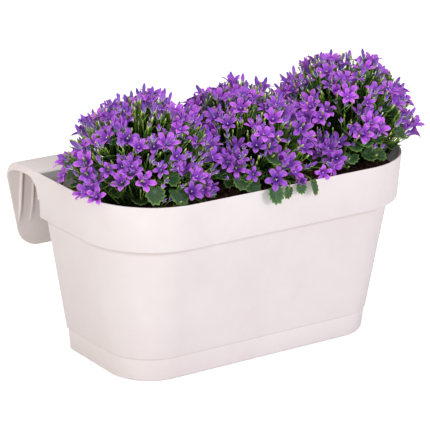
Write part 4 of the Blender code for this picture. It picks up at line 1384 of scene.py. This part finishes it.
def hook_plate(side):
    """One hook's plate, pulled out of the rim over the bend and down to its rounded foot."""
    line = hook_line()
    bare()
    middle = side * (HOOK_OUTER_END - HOOK_WIDTH / 2)
    bpy.ops.mesh.primitive_plane_add(size=1, location=(middle, (line[0].y + line[1].y) / 2, HOOK_TOP))
    plate = newest("hook_plate")
    plate.scale = (HOOK_WIDTH, line[1].y - line[0].y, 1)
    settle(plate)
    open_mesh(plate)
    pick(lambda place: place.y > line[1].y - 1e-5)
    width = HOOK_WIDTH
    for last, point in zip(line[1:], line[2:]):
        pull(point - last)
        outer, inner = hook_ends(point.z - HOOK_FOOT_HEIGHT)
        next_middle = side * (HOOK_OUTER_END - (outer + inner) / 2)
        resize(((inner - outer) / width, 1, 1), (middle, point.y, point.z))
        bpy.ops.transform.translate(value=(next_middle - middle, 0, 0))
        middle = next_middle
        width = inner - outer
    close_mesh()
    apply(plate, "SOLIDIFY", thickness=HOOK_PLATE, offset=-1, use_even_offset=True)
    return plate


def plate_across_x(points, x, thickness, name):
    """A flat plate across the planter's length, cut to an outline in the YZ plane, its edges rounded."""
    sheet = bpy.data.curves.new(name, "CURVE")
    sheet.dimensions = "2D"
    sheet.fill_mode = "BOTH"
    sheet.bevel_depth = PLATE_EDGE
    sheet.bevel_resolution = 1
    sheet.offset = -PLATE_EDGE
    sheet.extrude = thickness / 2 - PLATE_EDGE
    outline = sheet.splines.new("POLY")
    outline.points.add(len(points) - 1)
    for dot, point in zip(outline.points, points):
        dot.co = (point.y, point.z, 0, 1)
    outline.use_cyclic_u = True
    plate = bpy.data.objects.new(name, sheet)
    bpy.context.scene.collection.objects.link(plate)
    plate.matrix_world = Matrix(((0, 0, 1, x), (1, 0, 0, 0), (0, 1, 0, 0), (0, 0, 0, 1)))
    hold(plate)
    bpy.ops.object.convert(target="MESH")
    settle(plate)
    open_mesh(plate)
    pick_all()
    bpy.ops.mesh.remove_doubles(threshold=1e-6)
    face_out()
    close_mesh()
    return plate


def hook_lip(x):
    """The stiffening edge that runs from the band up over the hook's top."""
    line = [point - Vector((0, PLATE_EDGE, 0.0004)) for point in hook_line()[:HOOK_BEND_STEPS + 1]]
    arch = []
    for point in reversed(line[2:]):
        depth = LIP_DEPTH * (point.z - HOOK_TOP + HOOK_BEND) / HOOK_BEND + LIP_EDGE
        arch.append(Vector((0, point.y - LIP_LEAN * depth, point.z - depth)))
    for step in range(LIP_STEPS + 1):
        angle = math.radians(90 * step / LIP_STEPS)
        across = BAND_FOOT.back + LIP_CHEEK * (1 - math.sin(angle))
        arch.append(Vector((0, across, HOOK_TOP - LIP_DEPTH - LIP_CHEEK * (1 - math.cos(angle)))))
    arch.append(Vector((0, BAND_FOOT.back - WALL, HOOK_TOP - LIP_DEPTH - LIP_CHEEK)))
    return plate_across_x(line + arch, x, LIP_THICKNESS, "hook_lip")


def on_flange(height, depth):
    """A point at a height, and at a depth behind the flange's outer face."""
    shoulder = HOOK_TOP - HOOK_BEND
    lean = (HOOK_FOOT_REACH - HOOK_REACH) / (shoulder - HOOK_FOOT_HEIGHT)
    return Vector((0, HOOK_REACH + lean * (shoulder - height) - depth, height))


def hook_rib(x):
    """A slim rib on the flange's inner side, which fades out towards its foot."""
    bend = hook_line()[HOOK_BEND_STEPS // 2:HOOK_BEND_STEPS + 2]
    bend = [point - Vector((0, HOOK_PLATE / 3, HOOK_PLATE / 2)) for point in bend]
    edge = HOOK_PLATE + RIB_DEPTH
    ends = [on_flange(RIB_FOOT_HEIGHT, HOOK_PLATE / 2), on_flange(RIB_KNEE_HEIGHT, edge)]
    bend = [point for point in bend if point.y > on_flange(RIB_TOP, edge).y + 0.001]
    return plate_across_x([on_flange(RIB_TOP, edge)] + bend + ends, x, RIB_THICKNESS, "hook_rib")


def ease_edges(piece):
    """Round the sharp edges of a moulding a little."""
    apply(piece, "BEVEL", width=EDGE_ROUNDING, segments=2, limit_method="ANGLE",
          angle_limit=math.radians(50))


def make_planter():
    """The planter and its hooks, in one piece that stands for the planter's node."""
    trough = skin_through(planter_sections(), "trough", top=False)
    apply(trough, "SOLIDIFY", thickness=WALL, offset=-1, use_even_offset=True)
    ease_edges(trough)
    pieces = [trough]
    lip_inset = LIP_THICKNESS / 2 - LIP_PROUD
    for side in (-1, 1):
        plate = hook_plate(side)
        ease_edges(plate)
        pieces.append(plate)
        for x in (HOOK_OUTER_END - lip_inset, HOOK_OUTER_END - HOOK_WIDTH + lip_inset):
            pieces.append(hook_lip(side * x))
        for place in RIB_PLACES:
            pieces.append(hook_rib(side * (HOOK_OUTER_END - place)))
    planter = join(pieces, "planter_moulding")
    dress(planter, planter_plastic())
    smooth(planter, 40)
    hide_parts("planter")
    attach(planter, "root")


def cut_in_cells(piece, low, high, cell):
    """Cut a piece along X and Y in cells."""
    open_mesh(piece)
    for axis in (0, 1):
        for i in range(1, int((high[axis] - low[axis]) / cell) + 1):
            place = [0, 0, 0]
            way = [0, 0, 0]
            place[axis] = low[axis] + i * cell
            way[axis] = 1
            pick_all()
            bpy.ops.mesh.bisect(plane_co=place, plane_no=way)
    close_mesh()


def soil_height(x, y):
    """Low crumbly bumps over the soil's top."""
    wide = math.sin(SOIL_WIDE_WAVES[0] * x + 1.0) * math.cos(SOIL_WIDE_WAVES[1] * y + 0.5)
    fine = math.sin(SOIL_FINE_WAVES[0] * x + 2.0) * math.sin(SOIL_FINE_WAVES[1] * y + 4.0)
    return SOIL_TOP + SOIL_BUMP * (0.6 * wide + 0.4 * fine)


def make_soil():
    """The peat: its top cut fine, raised in crumbs and strewn with loose ones."""
    clear = WALL + GAP
    foot = BASE_ROUNDING + WALL
    top = inset(at_height(BAND_FOOT, RIM, SOIL_TOP), clear)
    sections = (
        inset(at_height(BASE, BODY_TOP, clear), clear + BASE_ROUNDING),
        inset(at_height(BASE, BODY_TOP, foot), clear + FOOT_STEP),
        inset(BODY_TOP, clear + SOIL_LEDGE_CLEAR)._replace(height=BODY_TOP.height + SOIL_LEDGE[0]),
        inset(at_height(BAND_FOOT, RIM, BODY_TOP.height + SOIL_LEDGE[1]), clear + SOIL_LEDGE_CLEAR),
        top,
    )
    soil = skin_through(sections, "peat", top=True)
    cut_in_cells(soil, (-top.length / 2, top.front), (top.length / 2, top.back), SOIL_CELL)
    upper = soil.vertex_groups.new(name="upper")
    for vertex in soil.data.vertices:
        place = vertex.co
        if place.z > SOIL_TOP - 1e-5:
            from_edge = min(top.length / 2 - abs(place.x), place.y - top.front, top.back - place.y)
            upper.add([vertex.index], min(1.0, 0.15 + from_edge / SOIL_EDGE), "REPLACE")
            place.z = soil_height(place.x, place.y)
    lumps = bpy.data.textures.new("lumps", "CLOUDS")
    lumps.noise_scale = LUMP_SIZE
    lumps.noise_depth = 3
    apply(soil, "DISPLACE", texture=lumps, strength=LUMP_SIZE, mid_level=0.55, direction="Z",
          vertex_group="upper")
    note(soil.data, "tone", [0.4] * len(soil.data.vertices))
    soil.data.shade_smooth()
    bare()
    bpy.ops.mesh.primitive_ico_sphere_add(subdivisions=1, radius=1)
    crumb = newest("crumb_template")
    pieces = [soil]
    for i in range(CRUMBS):
        x = (scatter(i, 1) - 0.5) * (top.length - 0.02)
        y = top.front + CRUMB_CLEAR + scatter(i, 2) * (top.back - top.front - 2 * CRUMB_CLEAR)
        if not within(top, Vector((x, y, 0)), CRUMB_CLEAR):
            continue
        size = CRUMB_SIZE + CRUMB_RANGE * scatter(i, 3) ** 2
        turn = frame_along(around(UP, 1.6, i, 4).normalized(), 6 * scatter(i, 7)).to_4x4()
        shape = Matrix.Diagonal((size * (1 + scatter(i, 8)), size, size * 0.7, 1))
        place = Matrix.Translation((x, y, soil_height(x, y) + 0.0008))
        pieces.append(copy_at(crumb, place @ turn @ shape, scatter(i, 9)))
    soil = join(pieces, "peat_filling")
    drop([crumb])
    dress(soil, peat())
    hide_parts("potting_soil")
    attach(soil, "root")


# Set, camera and light


def make_floor():
    """A plain pale floor under the planter."""
    bare()
    bpy.ops.mesh.primitive_plane_add(size=14, location=(0, 2, -FLOOR_DROP))
    floor = newest("studio_floor")
    settle(floor)
    dress(floor, floor_paint())


def make_camera():
    """The camera that stands where the picture was taken from."""
    back = Vector((math.sin(VIEW_AZIMUTH) * math.cos(VIEW_ELEVATION),
                   -math.cos(VIEW_AZIMUTH) * math.cos(VIEW_ELEVATION), math.sin(VIEW_ELEVATION)))
    right = (-back).cross(UP).normalized()
    up = right.cross(-back)
    turn = Matrix((right, up, back)).transposed() @ Matrix.Rotation(VIEW_ROLL, 3, "Z")
    lens = bpy.data.cameras.new("view")
    lens.lens = VIEW_LENS
    lens.sensor_width = 36
    lens.clip_end = 60
    camera = bpy.data.objects.new("view", lens)
    camera.matrix_world = Matrix.Translation(VIEW_TARGET + back * VIEW_DISTANCE) @ turn.to_4x4()
    bpy.context.scene.collection.objects.link(camera)
    bpy.context.scene.camera = camera


def add_softbox(name, place, size, power, colour=(1, 1, 1)):
    """A large square light that points at the planter."""
    light = bpy.data.lights.new(name, "AREA")
    light.color = colour
    light.size = size
    light.energy = power
    holder = bpy.data.objects.new(name, light)
    holder.location = place
    holder.rotation_euler = (Vector((0, 0, 0.2)) - Vector(place)).to_track_quat("-Z", "Y").to_euler()
    bpy.context.scene.collection.objects.link(holder)


def make_light():
    """Soft studio light, mostly from the front and a little above."""
    world = bpy.data.worlds.new("studio")
    bpy.context.scene.world = world
    world.use_nodes = True
    tree = world.node_tree
    sky = tree.nodes["Background"]
    sky.inputs["Color"].default_value = (1, 1, 1, 1)
    glow = mask(tree, node(tree, "LightPath").outputs["Is Camera Ray"], 0.0, 1.0, SKY_GLOW, 1.0)
    tree.links.new(glow, sky.inputs["Strength"])
    add_softbox("front", (0.9, -3.0, 0.95), 1.2, 38.5, (0.92, 0.885, 1.0))
    add_softbox("key", (-1.9, -2.5, 1.25), 0.5, 24, (0.78, 0.98, 1.0))
    add_softbox("side", (-3.1, -0.3, 0.6), 1.0, 27, (1.0, 0.94, 0.89))
    add_softbox("top", (0.0, 0.3, 2.6), 1.8, 24)
    bpy.context.scene.view_settings.view_transform = "Standard"


STEM_SKIN = stem_skin()
LEAF_SKIN = leaf_skin()
BELL_SKIN = bell_skin()
BUD_SKIN = bud_skin()
PISTIL_SKIN = pistil_skin()
SHADE_SKIN = shade_skin()
BELLS = {name: bell_template(name + "_bell", petal, BELL_SKIN) for name, petal in PETAL_SHAPES.items()}
PISTIL_PIECE = pistil_template(PISTIL_SKIN)
CALYX = calyx_template(STEM_SKIN)
BRACT = bract_template(STEM_SKIN)
BIG_BUD_PIECE = turned("big_bud", 10, BIG_BUD, BUD_SKIN, 0.78)
SMALL_BUD_PIECE = turned("small_bud", 8, SMALL_BUD, BUD_SKIN, 0.8)
YOUNG = turned("young_tip", 6, YOUNG_TIP, STEM_SKIN, 0.65)
rise_along(YOUNG.data, 0.55, 1.0)
REED_STEM = turned("reed", 4, REED, STEM_SKIN)
LEAVES = [leaf_template(name, cup, fold, LEAF_SKIN) for name, cup, fold in (
    ("cupped_leaf", 0.22, 0.10), ("flat_leaf", -0.12, 0.16), ("folded_leaf", 0.05, 0.38))]

make_planter()
make_soil()
for clump in CLUMPS:
    grow_plant(clump)
drop([*BELLS.values(), PISTIL_PIECE, CALYX, BRACT, BIG_BUD_PIECE, SMALL_BUD_PIECE, YOUNG, REED_STEM, *LEAVES])
make_floor()
make_camera()
make_light()
